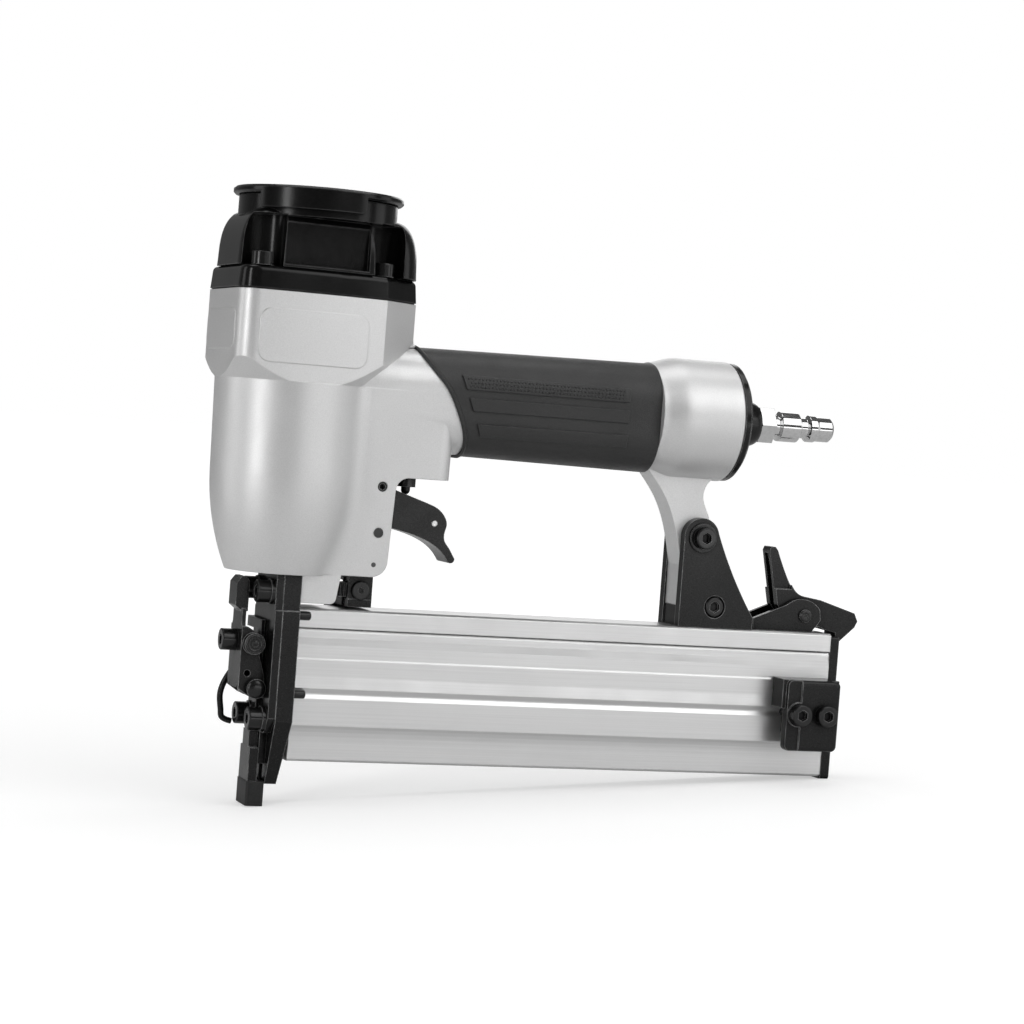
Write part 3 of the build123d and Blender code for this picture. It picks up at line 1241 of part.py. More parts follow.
# Finger pull screwed to the cover's left side
cover_side = -rail_half_width
with BuildPart() as finger_pull:
    with Locations((pull_front, -pull_outer, pull_floor)):
        Box(pull_rear - pull_front, pull_flange, pull_top - pull_floor,
            align=(Align.MIN, Align.MIN, Align.MIN))
    fillet(finger_pull.edges().filter_by(Axis.Y), 2.4)
    fillet(finger_pull.faces().sort_by(Axis.Y)[0].edges(), 1.6)
    with BuildSketch(Plane((0, -pull_outer, 0), x_dir=(1, 0, 0), z_dir=(0, -1, 0))):
        with Locations((pull_front, pull_floor)):
            Rectangle(pull_step_x - pull_front, pull_top - pull_floor, align=(Align.MIN, Align.MIN))
        with Locations((pull_screw_x[0], pull_screw_z)):
            Circle(screw_head_radius + 0.6, mode=Mode.SUBTRACT)
    extrude(amount=-pull_step, mode=Mode.SUBTRACT)
    with Locations((pull_arm_front, cover_side, pull_arm_floor)):
        Box(pull_rear - pull_arm_front, pull_outer - rail_half_width - 2.4, pull_top - pull_arm_floor,
            align=(Align.MIN, Align.MAX, Align.MIN))
    with Locations((pull_boss_front, cover_side, pull_boss_floor)):
        Box(pull_rear - pull_boss_front, pull_outer - rail_half_width - 2.4, pull_top - pull_boss_floor,
            align=(Align.MIN, Align.MAX, Align.MIN))
    for x in pull_screw_x:
        with Locations(Plane((x, -pull_outer, pull_screw_z), z_dir=(0, 1, 0))):
            Cylinder(screw_radius + seat_gap, 60, mode=Mode.SUBTRACT)
finish(finger_pull, "finger_pull")

with BuildPart() as pull_screws:
    for x in pull_screw_x:
        add(socket_screw(Plane((x, -pull_outer, pull_screw_z), z_dir=(0, -1, 0)), screw_radius,
                         pull_outer - cover_inner - 0.4, screw_head_radius, 3.6, screw_socket))
finish(pull_screws, "pull_screws")

# Rear foot: spacer and two side plates under the strut, with screws and nuts
with BuildPart() as foot_spacer:
    with BuildSketch(Plane.XZ):
        with BuildLine():
            Polyline((foot_plate_front + 0.6, rail_top),
                     (foot_plate_front + 0.6, strut_outline_foot - seat_gap),
                     (spacer_step_x + seat_gap, strut_outline_foot - seat_gap),
                     (spacer_step_x + seat_gap, spacer_step_z - seat_gap),
                     (185.6, spacer_step_z - seat_gap),
                     (190.0, rail_top), close=True)
        make_face()
    extrude(amount=strut_half_width, both=True)
    with Locations(Plane((foot_screw_low[0], 0, foot_screw_low[1]), z_dir=(0, 1, 0))):
        Cylinder(screw_radius + running_gap, 2 * strut_half_width, mode=Mode.SUBTRACT)
finish(foot_spacer, "foot_spacer")


def foot_plate(side):
    """One side plate of the rear foot, outside the strut."""
    with BuildPart() as plate:
        with BuildSketch(Plane((0, side * strut_half_width, 0), x_dir=(1, 0, 0), z_dir=(0, -1, 0))):
            with BuildLine():
                Polyline((foot_plate_front, 110.5), (foot_plate_front, rail_top), (195.3, rail_top),
                         (195.3, 80.5))
                flare = Spline((195.3, 80.5), (186.7, 94.3), (177.6, 113.5))
                ThreePointArc(flare @ 1, (169.6, 119.0), (foot_plate_front, 110.5))
            make_face()
        extrude(amount=-side * foot_plate_thickness)
        for x, z in (foot_screw_high, foot_screw_low):
            with Locations(Plane((x, 0, z), z_dir=(0, 1, 0))):
                Cylinder(screw_radius + running_gap, 40, mode=Mode.SUBTRACT)
        with Locations(Plane((foot_screw_low[0], side * (strut_half_width + foot_plate_thickness),
                              foot_screw_low[1]),
                             z_dir=(0, side, 0))):
            Cylinder(screw_head_radius + 0.2, 2 * 2.6, mode=Mode.SUBTRACT)
    return plate


foot_plate_left = foot_plate(-1)
finish(foot_plate_left, "foot_plate_left")
foot_plate_right = foot_plate(1)
finish(foot_plate_right, "foot_plate_right")

plate_outer = strut_half_width + foot_plate_thickness
with BuildPart() as foot_screws:
    add(socket_screw(Plane((foot_screw_high[0], -plate_outer, foot_screw_high[1]), z_dir=(0, -1, 0)),
                     screw_radius,
                     2 * plate_outer + 4.4, screw_head_radius, 4.0, screw_socket))
    add(socket_screw(Plane((foot_screw_low[0], -plate_outer + 2.6, foot_screw_low[1]),
                           z_dir=(0, -1, 0)), screw_radius,
                     2 * plate_outer - 4.0, screw_head_radius - 0.4, 2.8, screw_socket))
finish(foot_screws, "foot_screws")

with BuildPart() as foot_nuts:
    for (x, z), seat in ((foot_screw_high, plate_outer), (foot_screw_low, plate_outer - 2.6)):
        with BuildSketch(Plane((x, seat, z), z_dir=(0, 1, 0))):
            RegularPolygon(4.2, 6)
            Circle(screw_radius + running_gap, mode=Mode.SUBTRACT)
        extrude(amount=3.8)
finish(foot_nuts, "foot_nuts")

# Magazine latch: bracket on the rail, sprung hook lever on its pin
bracket_outer = latch_half_width + slide_gap + latch_bracket_wall
with BuildPart() as latch_bracket:
    with Locations((latch_bracket_front, 0, rail_top)):
        Box(15, 2 * bracket_outer, 1.6, align=(Align.MIN, Align.CENTER, Align.MIN))
    for side in (-1, 1):
        with BuildSketch(Plane((0, side * (latch_half_width + slide_gap), 0), x_dir=(1, 0, 0),
                               z_dir=(0, -1, 0))):
            with BuildLine():
                Polyline((latch_bracket_front, rail_top), (latch_bracket_front, 80.4), (211.0, 86.2),
                         (214.2, 88.2))
                ThreePointArc((214.2, 88.2), (221.6, 88.4), (226.4, 85.0))
                Polyline((226.4, 85.0), (227.0, 80.6), (223.0, rail_top),
                         (latch_bracket_front, rail_top))
            make_face()
        extrude(amount=-side * latch_bracket_wall)
    with Locations(Plane((latch_pivot[0], 0, latch_pivot[1]), z_dir=(0, 1, 0))):
        Cylinder(latch_pin_radius + seat_gap, 40, mode=Mode.SUBTRACT)
finish(latch_bracket, "latch_bracket")

with BuildPart() as magazine_latch:
    with BuildSketch(Plane.XZ):
        with BuildLine():
            tab = Polyline((243.2, 84.2), (227.5, 88.8), (219.6, 90.0))
            neck = Spline(tab @ 1, (213.8, 94.6), (210.4, 101.0), (207.4, 107.8),
                          tangents=(tab % 1, (-0.4, 1)))
            Polyline(neck @ 1, (206.2, 109.2), (204.4, 109.2), (203.7, 107.6), (208.2, 86.0), (214.0, 78.6),
                     (226.2, 78.6), (230.0, 77.0), (235.2, 76.0), (235.2, 72.6), (237.3, 72.6),
                     (243.6, 78.4), (244.8, 81.0), (243.2, 84.2))
        make_face()
    extrude(amount=latch_half_width, both=True)
    for side in (-1, 1):
        with Locations((214.0, side * latch_tab_half_width, latch_tab_foot)):
            Box(24, latch_half_width, 40, mode=Mode.SUBTRACT,
                align=(Align.MAX, Align.MIN if side > 0 else Align.MAX, Align.MIN))
    with BuildSketch(Plane.XZ):
        with BuildLine():
            Polyline((202.0, 78.0), (213.6, 78.0), (213.6, 85.4), (210.2, 92.6), (206.6, 103.0),
                     (205.4, 106.6), (202.0, 106.6), close=True)
        make_face()
    extrude(amount=latch_tab_half_width - latch_tab_wall, both=True, mode=Mode.SUBTRACT)
    with Locations(Plane((latch_pivot[0], 0, latch_pivot[1]), z_dir=(0, 1, 0))):
        Cylinder(latch_pin_radius + running_gap, 40, mode=Mode.SUBTRACT)
        Cylinder(latch_spring_radius + 0.8, latch_spring_length + 2 * slide_gap, mode=Mode.SUBTRACT)
finish(magazine_latch, "magazine_latch")

with BuildPart() as latch_spring:
    add(coil_spring(Plane((latch_pivot[0], -latch_spring_length / 2, latch_pivot[1]), z_dir=(0, 1, 0)),
                    latch_spring_radius, 0.35, latch_spring_length, 3))
finish(latch_spring, "latch_spring")

with BuildPart() as latch_pin:
    with BuildSketch(Plane((latch_pivot[0], -bracket_outer - 0.3, latch_pivot[1]), z_dir=(0, 1, 0))):
        Circle(latch_pin_radius)
    extrude(amount=2 * bracket_outer + 0.6)
    for side in (-1, 1):
        with BuildSketch(Plane((latch_pivot[0], side * bracket_outer, latch_pivot[1]),
                               z_dir=(0, side, 0))):
            Circle(2.6)
        extrude(amount=0.9)
finish(latch_pin, "latch_pin")

# Wire bail: from the lever's eye, bowed forward and down, to its hooked foot
bail_y = cheek_outer + 2.6 + bail_radius
with BuildPart() as latch_bail:
    with BuildLine() as bail_path:
        eye = Line((bail_pivot[0], lever_cheek_inner - 0.4, bail_pivot[1]),
                   (bail_pivot[0], bail_y - 2.4, bail_pivot[1]))
        Spline(eye @ 1, (-12.6, bail_y, 46.6), (-14.9, bail_y, 38.2), (-14.2, bail_y, 33.2),
               (-10.0, bail_y, 29.6), tangents=(eye % 1, (1, 0, -0.2)))
    with BuildSketch(Plane(bail_path.line @ 0, z_dir=bail_path.line % 0)):
        Circle(bail_radius)
    sweep(path=bail_path.line)
finish(latch_bail, "latch_bail")
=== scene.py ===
import json
import math

import bmesh
import bpy
from mathutils import Matrix, Vector
from mathutils.bvhtree import BVHTree


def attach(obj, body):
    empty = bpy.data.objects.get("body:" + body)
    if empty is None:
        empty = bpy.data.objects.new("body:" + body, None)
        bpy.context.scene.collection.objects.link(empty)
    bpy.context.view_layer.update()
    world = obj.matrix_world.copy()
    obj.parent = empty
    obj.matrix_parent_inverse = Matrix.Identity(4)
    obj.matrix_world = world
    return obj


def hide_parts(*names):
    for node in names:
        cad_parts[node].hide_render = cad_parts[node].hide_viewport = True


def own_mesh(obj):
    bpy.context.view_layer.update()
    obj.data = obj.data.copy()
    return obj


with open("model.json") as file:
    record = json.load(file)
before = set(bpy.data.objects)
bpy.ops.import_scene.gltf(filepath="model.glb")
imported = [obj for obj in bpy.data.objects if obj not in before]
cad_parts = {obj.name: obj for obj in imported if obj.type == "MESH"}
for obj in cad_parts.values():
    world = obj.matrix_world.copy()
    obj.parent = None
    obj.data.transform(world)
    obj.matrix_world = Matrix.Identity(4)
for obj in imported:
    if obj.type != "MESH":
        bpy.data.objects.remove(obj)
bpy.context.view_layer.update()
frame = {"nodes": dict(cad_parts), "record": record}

MM = 0.001
WELD = 0.002 * MM
UP = (0.0, 0.0, 1.0)
REARWARD = (1.0, 0.0, 0.0)
SIDES = ((-1.0, "near"), (1.0, "far"))

# Where the photograph was taken from, in the tool's own frame
CAMERA_PLACE = (-0.2827, -1.0012, 0.1514)
CAMERA_YAW = math.radians(20.58)
CAMERA_PITCH = math.radians(1.88)
CAMERA_ROLL = math.radians(4.385)
CAMERA_LENS = 96.68
CAMERA_SENSOR = 36.0
CAMERA_CLIP = (0.01, 100.0)

# How much of the floor's white is there without any lamp: beside the tool, far from it, and in the metal
FLOOR_LIFT_NEAR = 0.46
FLOOR_LIFT_FAR = 0.88
FLOOR_MIRRORED = 0.08
FLOOR_CENTRE = (0.11, 0.0, 0.0)
FLOOR_NEAR = 0.12
FLOOR_FAR = 1.6
FLOOR_GREY = 0.60

# The tool stands on its tip pad and the rear foot of its magazine, so the floor slopes in its frame as far as
# that foot, and is level behind it, where the magazine slides out
FLOOR_REAR_POINT = (0.2349, 0.0168)
FLOOR_REACH = 12.0

# The surroundings as light, and as the metal mirrors them in front of the tool and behind it
WORLD_LEVEL = 0.25
WORLD_MIRRORED = (0.12, 0.20)
WORLD_MIRRORED_SPAN = (0.2, 1.0)

# Soft boxes: place, point aimed at, width and height in metres, and watts
LAMPS = {
    "right_box": ((0.60, -0.78, 0.89), (0.1, 0.0, 0.12), (0.9, 0.9), 5.6),
    "far_right_box": ((1.05, -0.75, 0.35), (0.1, 0.0, 0.12), (0.4, 0.7), 1.3),
    "low_front_strip": ((0.55, -1.2, 0.12), (0.1, 0.0, 0.12), (0.9, 0.15), 1.1),
    "left_strip": ((-0.82, -0.50, 0.3), (0.05, 0.0, 0.12), (0.15, 0.9), 3.5),
    "left_back_strip": ((-0.92, 0.22, 0.3), (0.05, 0.0, 0.12), (0.3, 1.0), 1.8),
    "right_end_box": ((1.1, -0.1, 0.35), (0.1, 0.0, 0.12), (0.4, 0.6), 0.7),
    "top_box": ((0.1, 0.1, 1.0), (0.1, 0.0, 0.1), (1.0, 0.4), 3.0),
    "back_box": ((0.55, 1.1, 0.6), (0.1, 0.0, 0.12), (0.9, 0.6), 2.6),
}

# The share of a noise that counts, for fine grain and for broad patches
GRAIN_SPAN = (0.3, 0.7)
MARKS_SPAN = (0.35, 0.65)
MARKS_SCALE = 45.0
DRAWN_STRETCH = (14.0, 2600.0, 2600.0)

# Rubbed edges and painted edge highlight: how far the rounded normal turns between no wear and full wear, and how
# patchy the wear is
EDGE_SAMPLES = 6
EDGE_TURN = (0.99, 0.86)
EDGE_PATCH_SCALE = 260.0
EDGE_PATCH_SPAN = (0.32, 0.62)
EDGE_LEAST = 0.35

# Painted shade: how deep a hollow has to be before the black finishes lose their shine in it, and how shut it is
HOLLOW_REACH = 0.004
HOLLOW_SAMPLES = 4
HOLLOW_SPAN = (0.30, 0.85)

# The grip's moulded ribs: their edges' heights, and where they start and end along the handle
GRIP_RIBS = ((162.1, 167.5), (154.1, 159.2), (144.7, 149.5))
RIB_TOP_FRONT = 62.7
RIB_FRONT_SLANT = 0.40
RIB_REAR = 131.9
RIB_RISE = 0.7
RIB_SUNK = 0.12
RIB_GRID = (36, 5)
RIB_ROUND = 0.25
RIB_EDGE_ANGLE = math.radians(50.0)

# The stipple on the upper rib, where a maker would set a name
STIPPLE_PITCH = 1.45
STIPPLE_ROWS = (163.4, 164.8, 166.2)
STIPPLE_RADIUS = 0.5
STIPPLE_FLATNESS = 0.6
STIPPLE_MARGIN = 2.0

# The bead along the grip's front edge, which is found by the way its end face looks
GRIP_BEAD_RADIUS = 0.8
GRIP_AXIS_HEIGHT = 156.8
GRIP_END_FACING = -0.2

# Turned pieces and coils: their steps round, and the break of a turned edge
TURNED_STEPS = 32
TURNED_EDGE = 0.06
TURNED_EDGE_ANGLE = math.radians(30.0)
COIL_STEPS = 24
COIL_WIRE_SIDES = 8

# Springs: joint, foot, way along, coil and wire radius, length, turns, travel and body
COILS = {
    "head_valve_spring": ("head_valve_lift", (0.0, 0.0, 192.35), UP, 9.5, 0.8, 22.8, 6, 4.0, "housing"),
    "valve_spring": ("trigger_pull", (49.0, 0.0, 137.05), UP, 2.6, 0.35, 9.0, 5, 2.5, "housing"),
    "safety_spring": ("safety_press", (28.2, 0.0, 88.35), UP, 2.3, 0.4, 12.6, 6, 6.0, "housing"),
    "pusher_spring": ("pusher_feed", (44.07, -4.2, 57.0), REARWARD, 2.2, 0.35, 186.76, 36, 170.0, "magazine_slide"),
}

# Outlines of the turned pieces, as (radius, height) points
EYE_PIN = ((0.0, -6.6), (1.05, -6.6), (1.2, -6.4), (1.2, 6.4), (1.05, 6.6), (0.0, 6.6))
WASHER = ((4.3, 0.0), (5.9, 0.0), (5.9, 0.7), (5.6, 0.95), (4.3, 0.95))
RIVET = ((0.0, -0.3), (2.45, -0.3), (2.45, 0.15), (2.1, 0.5), (1.5, 0.6), (1.05, 0.45), (0.9, 0.05), (0.0, 0.05))
DOME = ((0.0, -0.3), (3.4, -0.3), (3.4, 0.1), (3.1, 0.45), (2.4, 0.75), (1.3, 0.95), (0.0, 1.0))
BOSS = ((0.0, -0.3), (3.6, -0.3), (3.6, 0.25), (3.3, 0.5), (2.5, 0.5), (2.2, 0.3), (1.2, 0.3), (0.9, 0.6), (0.0, 0.7))
# A dark cap that paints the shade of the dimple on each trigger ear
DIMPLE_SHADE_CAP = ((0.0, -0.5), (0.95, -0.5), (0.95, 0.0), (0.7, 0.2), (0.0, 0.3))

# Where they sit
EYE_PIN_PLACE = (59.6, 0.0, 110.2)
WASHER_PLACE = (170.8, -10.0, 111.2)
RIVET_PLACE = (219.6, 8.0, 82.3)
DOME_PLACE = (-7.0, 10.4, 44.5)
BOSS_PLACE = (-8.8, -10.7, 61.3)
DIMPLE_SHADE_SPOT = (34.2, 93.5)
OUTSIDE = 0.06


def grey(value):
    """A neutral colour."""
    return (value, value, value)


def set_inputs(node, values):
    """Sets a node's sockets by their labels."""
    for label, value in values.items():
        node.inputs[label].default_value = value


def add_group(name, inputs, outputs):
    """A shader node group with its sockets, and its two end nodes."""
    group = bpy.data.node_groups.new(name, "ShaderNodeTree")
    for label, kind, value in inputs:
        socket = group.interface.new_socket(label, in_out="INPUT", socket_type=kind)
        if value is not None:
            socket.default_value = value
    for label, kind in outputs:
        group.interface.new_socket(label, in_out="OUTPUT", socket_type=kind)
    start = group.nodes.new("NodeGroupInput")
    end = group.nodes.new("NodeGroupOutput")
    return group, start, end


def make_noise_group(name, noise_values, span, scale=None, stretch=None):
    """A noise spread between a low and a high value, with its scale as a socket or stretched for good."""
    sockets = [("Vector", "NodeSocketVector", None)]
    if scale is not None:
        sockets.append(("Scale", "NodeSocketFloat", scale))
    sockets += [("Low", "NodeSocketFloat", 0.0), ("High", "NodeSocketFloat", 1.0)]
    group, start, end = add_group(name, sockets, (("Value", "NodeSocketFloat"), ("Height", "NodeSocketFloat")))
    link = group.links.new
    noise = group.nodes.new("ShaderNodeTexNoise")
    set_inputs(noise, noise_values)
    spread = group.nodes.new("ShaderNodeMapRange")
    set_inputs(spread, {"From Min": span[0], "From Max": span[1]})
    vector = start.outputs["Vector"]
    if stretch is not None:
        drawn_out = group.nodes.new("ShaderNodeMapping")
        drawn_out.inputs["Scale"].default_value = stretch
        link(vector, drawn_out.inputs["Vector"])
        vector = drawn_out.outputs["Vector"]
    link(vector, noise.inputs["Vector"])
    if scale is not None:
        link(start.outputs["Scale"], noise.inputs["Scale"])
    link(noise.outputs["Fac"], spread.inputs["Value"])
    link(start.outputs["Low"], spread.inputs["To Min"])
    link(start.outputs["High"], spread.inputs["To Max"])
    link(spread.outputs["Result"], end.inputs["Value"])
    link(noise.outputs["Fac"], end.inputs["Height"])
    return group


def make_wear_and_highlight_group():
    """Where a surface turns a corner: its rounded normal, and a mask of where the finish has rubbed thin and where a
    painted highlight lies.
    """
    group, start, end = add_group(
        "worn_and_highlit_edges",
        (("Vector", "NodeSocketVector", None), ("Radius", "NodeSocketFloat", 0.0004)),
        (("Mask", "NodeSocketFloat"), ("Normal", "NodeSocketVector")))
    rounded = group.nodes.new("ShaderNodeBevel")
    rounded.samples = EDGE_SAMPLES
    shape = group.nodes.new("ShaderNodeNewGeometry")
    alike = group.nodes.new("ShaderNodeVectorMath")
    alike.operation = "DOT_PRODUCT"
    turned = group.nodes.new("ShaderNodeMapRange")
    set_inputs(turned, {"From Min": EDGE_TURN[0], "From Max": EDGE_TURN[1]})
    patches = group.nodes.new("ShaderNodeTexNoise")
    set_inputs(patches, {"Scale": EDGE_PATCH_SCALE, "Detail": 3.0})
    uneven = group.nodes.new("ShaderNodeMapRange")
    set_inputs(uneven, {"From Min": EDGE_PATCH_SPAN[0], "From Max": EDGE_PATCH_SPAN[1], "To Min": EDGE_LEAST})
    # Rubbed wear and painted edge highlight share this mask
    wear_and_highlight_mask = group.nodes.new("ShaderNodeMath")
    wear_and_highlight_mask.operation = "MULTIPLY"
    link = group.links.new
    link(start.outputs["Radius"], rounded.inputs["Radius"])
    link(rounded.outputs["Normal"], alike.inputs[0])
    link(shape.outputs["Normal"], alike.inputs[1])
    link(alike.outputs["Value"], turned.inputs["Value"])
    link(start.outputs["Vector"], patches.inputs["Vector"])
    link(patches.outputs["Fac"], uneven.inputs["Value"])
    link(turned.outputs["Result"], wear_and_highlight_mask.inputs[0])
    link(uneven.outputs["Result"], wear_and_highlight_mask.inputs[1])
    link(wear_and_highlight_mask.outputs["Value"], end.inputs["Mask"])
    link(rounded.outputs["Normal"], end.inputs["Normal"])
    return group


# Cast, moulded or painted grain; lines along X on a drawn section; patches dulled or polished by hands and dust
GRAIN = make_noise_group("surface_grain", {"Detail": 3.0, "Roughness": 0.6}, GRAIN_SPAN, scale=1500.0)
DRAWN = make_noise_group("drawn_lines", {"Scale": 1.0, "Detail": 4.0}, GRAIN_SPAN, stretch=DRAWN_STRETCH)
MARKS = make_noise_group("handling_marks", {"Detail": 5.0, "Roughness": 0.65}, MARKS_SPAN, scale=MARKS_SCALE)
WEAR_AND_HIGHLIGHT = make_wear_and_highlight_group()


def use_group(mat, group, place, **values):
    """The group as a node of the material, with its values set."""
    node = mat.node_tree.nodes.new("ShaderNodeGroup")
    node.node_tree = group
    set_inputs(node, values)
    mat.node_tree.links.new(place.outputs["Object"], node.inputs["Vector"])
    return node


def paint_hollow_shade(mat, specular):
    """Painted shade: lets the shine fade in sockets, slots and seams, as far as they are shut in."""
    nodes = mat.node_tree.nodes
    shade = nodes.new("ShaderNodeAmbientOcclusion")
    shade.samples = HOLLOW_SAMPLES
    shade.inputs["Distance"].default_value = HOLLOW_REACH
    open_share = nodes.new("ShaderNodeMapRange")
    set_inputs(open_share, {"From Min": HOLLOW_SPAN[0], "From Max": HOLLOW_SPAN[1], "To Min": 0.0,
                            "To Max": specular})
    link = mat.node_tree.links.new
    link(shade.outputs["AO"], open_share.inputs["Value"])
    link(open_share.outputs["Result"], nodes["Principled BSDF"].inputs["Specular IOR Level"])


def finish_material(name, dark, light, metallic, roughness, grain_scale, bump, edge, specular=0.5, hollow_shade=False):
    """A surface whose colour, roughness and height vary with its own grain and handling, and whose edges carry a
    painted highlight.

    bump is the grain's strength and height, edge the width and colour of its wear and painted highlight; without a
    grain scale the grain is drawn out along X.
    """
    mat = bpy.data.materials.new(name)
    mat.use_nodes = True
    nodes = mat.node_tree.nodes
    link = mat.node_tree.links.new
    shader = nodes["Principled BSDF"]
    set_inputs(shader, {"Metallic": metallic, "Specular IOR Level": specular})
    # Painted shade: the shine fades in hollows
    if hollow_shade:
        paint_hollow_shade(mat, specular)
    place = nodes.new("ShaderNodeTexCoord")
    if grain_scale is None:
        grain = use_group(mat, DRAWN, place, Low=0.0, High=1.0)
    else:
        grain = use_group(mat, GRAIN, place, Scale=grain_scale, Low=0.0, High=1.0)
    tone = nodes.new("ShaderNodeMix")
    tone.data_type = "RGBA"
    set_inputs(tone, {"A": (*dark, 1.0), "B": (*light, 1.0)})
    corner = use_group(mat, WEAR_AND_HIGHLIGHT, place, Radius=edge[0])
    # The edge colour is rubbed wear and also a painted highlight along the edges
    wear_and_highlight_tone = nodes.new("ShaderNodeMix")
    wear_and_highlight_tone.data_type = "RGBA"
    wear_and_highlight_tone.inputs["B"].default_value = (*edge[1], 1.0)
    link(grain.outputs["Value"], tone.inputs["Factor"])
    link(tone.outputs["Result"], wear_and_highlight_tone.inputs["A"])
    link(corner.outputs["Mask"], wear_and_highlight_tone.inputs["Factor"])
    link(wear_and_highlight_tone.outputs["Result"], shader.inputs["Base Color"])
    dull = use_group(mat, MARKS, place, Scale=MARKS_SCALE, Low=roughness[0], High=roughness[1])
    link(dull.outputs["Value"], shader.inputs["Roughness"])
    lift = nodes.new("ShaderNodeBump")
    set_inputs(lift, {"Strength": bump[0], "Distance": bump[1]})
    link(grain.outputs["Height"], lift.inputs["Height"])
    link(corner.outputs["Normal"], lift.inputs["Normal"])
    link(lift.outputs["Normal"], shader.inputs["Normal"])
    return mat


# Each finish's last pair is the width and colour of its edges: rubbed wear and painted highlight, strongest on the
# black finishes
FINISHES = {
    "cast_silver": finish_material("cast_silver", grey(0.63), grey(0.71), 0.6, (0.40, 0.48), 2600.0,
                                   (0.12, 0.00008), (0.0006, grey(0.74))),
    "black_cap": finish_material("black_cap", grey(0.003), grey(0.006), 0.0, (0.15, 0.23), 900.0,
                                 (0.10, 0.0001), (0.0007, grey(0.06)), specular=0.24, hollow_shade=True),
    "grip_rubber": finish_material("grip_rubber", grey(0.011), grey(0.026), 0.0, (0.42, 0.54), 2600.0,
                                   (0.5, 0.0002), (0.0004, grey(0.10))),
    "anodised": finish_material("anodised", grey(0.645), grey(0.695), 0.9, (0.30, 0.38), None,
                                (0.04, 0.00004), (0.0005, grey(0.76))),
    "black_steel": finish_material("black_steel", grey(0.004), grey(0.009), 0.0, (0.17, 0.27), 1300.0,
                                   (0.12, 0.0001), (0.0006, grey(0.32)), specular=0.26, hollow_shade=True),
    "black_screws": finish_material("black_screws", grey(0.005), grey(0.010), 0.2, (0.15, 0.25), 1600.0,
                                    (0.1, 0.00006), (0.0004, grey(0.36)), hollow_shade=True),
    "chrome_plug": finish_material("chrome_plug", grey(0.52), grey(0.60), 1.0, (0.05, 0.10), 800.0,
                                   (0.02, 0.00004), (0.0003, grey(0.85))),
    "soft_rubber": finish_material("soft_rubber", grey(0.010), grey(0.020), 0.0, (0.45, 0.58), 1500.0,
                                   (0.3, 0.00015), (0.0005, grey(0.05)), specular=0.3),
    "bright_steel": finish_material("bright_steel", grey(0.50), grey(0.62), 1.0, (0.22, 0.32), 900.0,
                                    (0.05, 0.00005), (0.0002, grey(0.68))),
    "bare_aluminium": finish_material("bare_aluminium", grey(0.60), grey(0.72), 1.0, (0.28, 0.38), 900.0,
                                      (0.05, 0.00005), (0.0003, grey(0.76))),
    "inner_plastic": finish_material("inner_plastic", grey(0.05), grey(0.08), 0.0, (0.45, 0.55), 900.0,
                                     (0.1, 0.0001), (0.0003, grey(0.12))),
    "brass_valve": finish_material("brass_valve", (0.60, 0.44, 0.18), (0.72, 0.55, 0.26), 1.0, (0.24, 0.34), 900.0,
                                   (0.04, 0.00005), (0.0003, (0.78, 0.62, 0.32))),
}

slot_of_node = {entry["node"]: entry["material_slot"] for entry in frame["record"]["subparts"]}
for name, node in frame["nodes"].items():
    node.data.materials.clear()
    node.data.materials.append(FINISHES[slot_of_node[name]])


def add_piece(name, bm, body, slot):
    """A finished mesh as a piece that moves with a body and takes a slot's finish."""
    mesh = bpy.data.meshes.new(name)
    bm.to_mesh(mesh)
    bm.free()
    for face in mesh.polygons:
        face.use_smooth = True
    piece = bpy.data.objects.new(name, mesh)
    bpy.context.scene.collection.objects.link(piece)
    mesh.materials.append(FINISHES[slot])
    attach(piece, body)
    return piece


def round_edges(piece, label, angle, width, segments):
    """Breaks a piece's sharp edges."""
    rounded = piece.modifiers.new(label, "BEVEL")
    rounded.limit_method = "ANGLE"
    rounded.angle_limit = angle
    rounded.width = width * MM
    rounded.segments = segments
    rounded.harden_normals = True


def turn_to(axis):
    """Rotation from straight up to an axis."""
    return Vector(UP).rotation_difference(Vector(axis)).to_matrix().to_4x4()


def close_up(bm):
    """Joins the points that a spin left double, and faces everything outward."""
    bmesh.ops.remove_doubles(bm, verts=bm.verts, dist=WELD)
    bmesh.ops.recalc_face_normals(bm, faces=bm.faces)


def surface_tree(node_name):
    """A CAD piece's surface, for laying thin things on it."""
    return BVHTree.FromObject(frame["nodes"][node_name], bpy.context.evaluated_depsgraph_get())


def land_on(tree, x, z, side):
    """The point of a surface that is met at (x, z) from one side of the tool, and the way it faces there."""
    return tree.ray_cast(Vector((x * MM, side * OUTSIDE, z * MM)), Vector((0.0, -side, 0.0)))[:2]


def rib_front(z):
    """Where a rib starts at a height: along the slanted front edge of the grip."""
    return RIB_TOP_FRONT + RIB_FRONT_SLANT * (GRIP_RIBS[0][1] - z)


def add_grip_rib(name, tree, low, high, side):
    """A low flat rib, moulded on the side of the grip."""
    bm = bmesh.new()
    bmesh.ops.create_grid(bm, x_segments=RIB_GRID[0], y_segments=RIB_GRID[1], size=0.5)
    for vert in bm.verts:
        z = low + (vert.co.y + 0.5) * (high - low)
        x = rib_front(z) + (vert.co.x + 0.5) * (RIB_REAR - rib_front(z))
        point, facing = land_on(tree, x, z, side)
        vert.co = point - facing * RIB_SUNK * MM
    bmesh.ops.recalc_face_normals(bm, faces=bm.faces)
    if sum(face.normal.y for face in bm.faces) * side < 0.0:
        bmesh.ops.reverse_faces(bm, faces=bm.faces)
    rib = add_piece(name, bm, "housing", "grip_rubber")
    raised = rib.modifiers.new("raised", "SOLIDIFY")
    raised.thickness = (RIB_RISE + RIB_SUNK) * MM
    raised.offset = 1.0
    round_edges(rib, "rounded", RIB_EDGE_ANGLE, RIB_ROUND, 3)


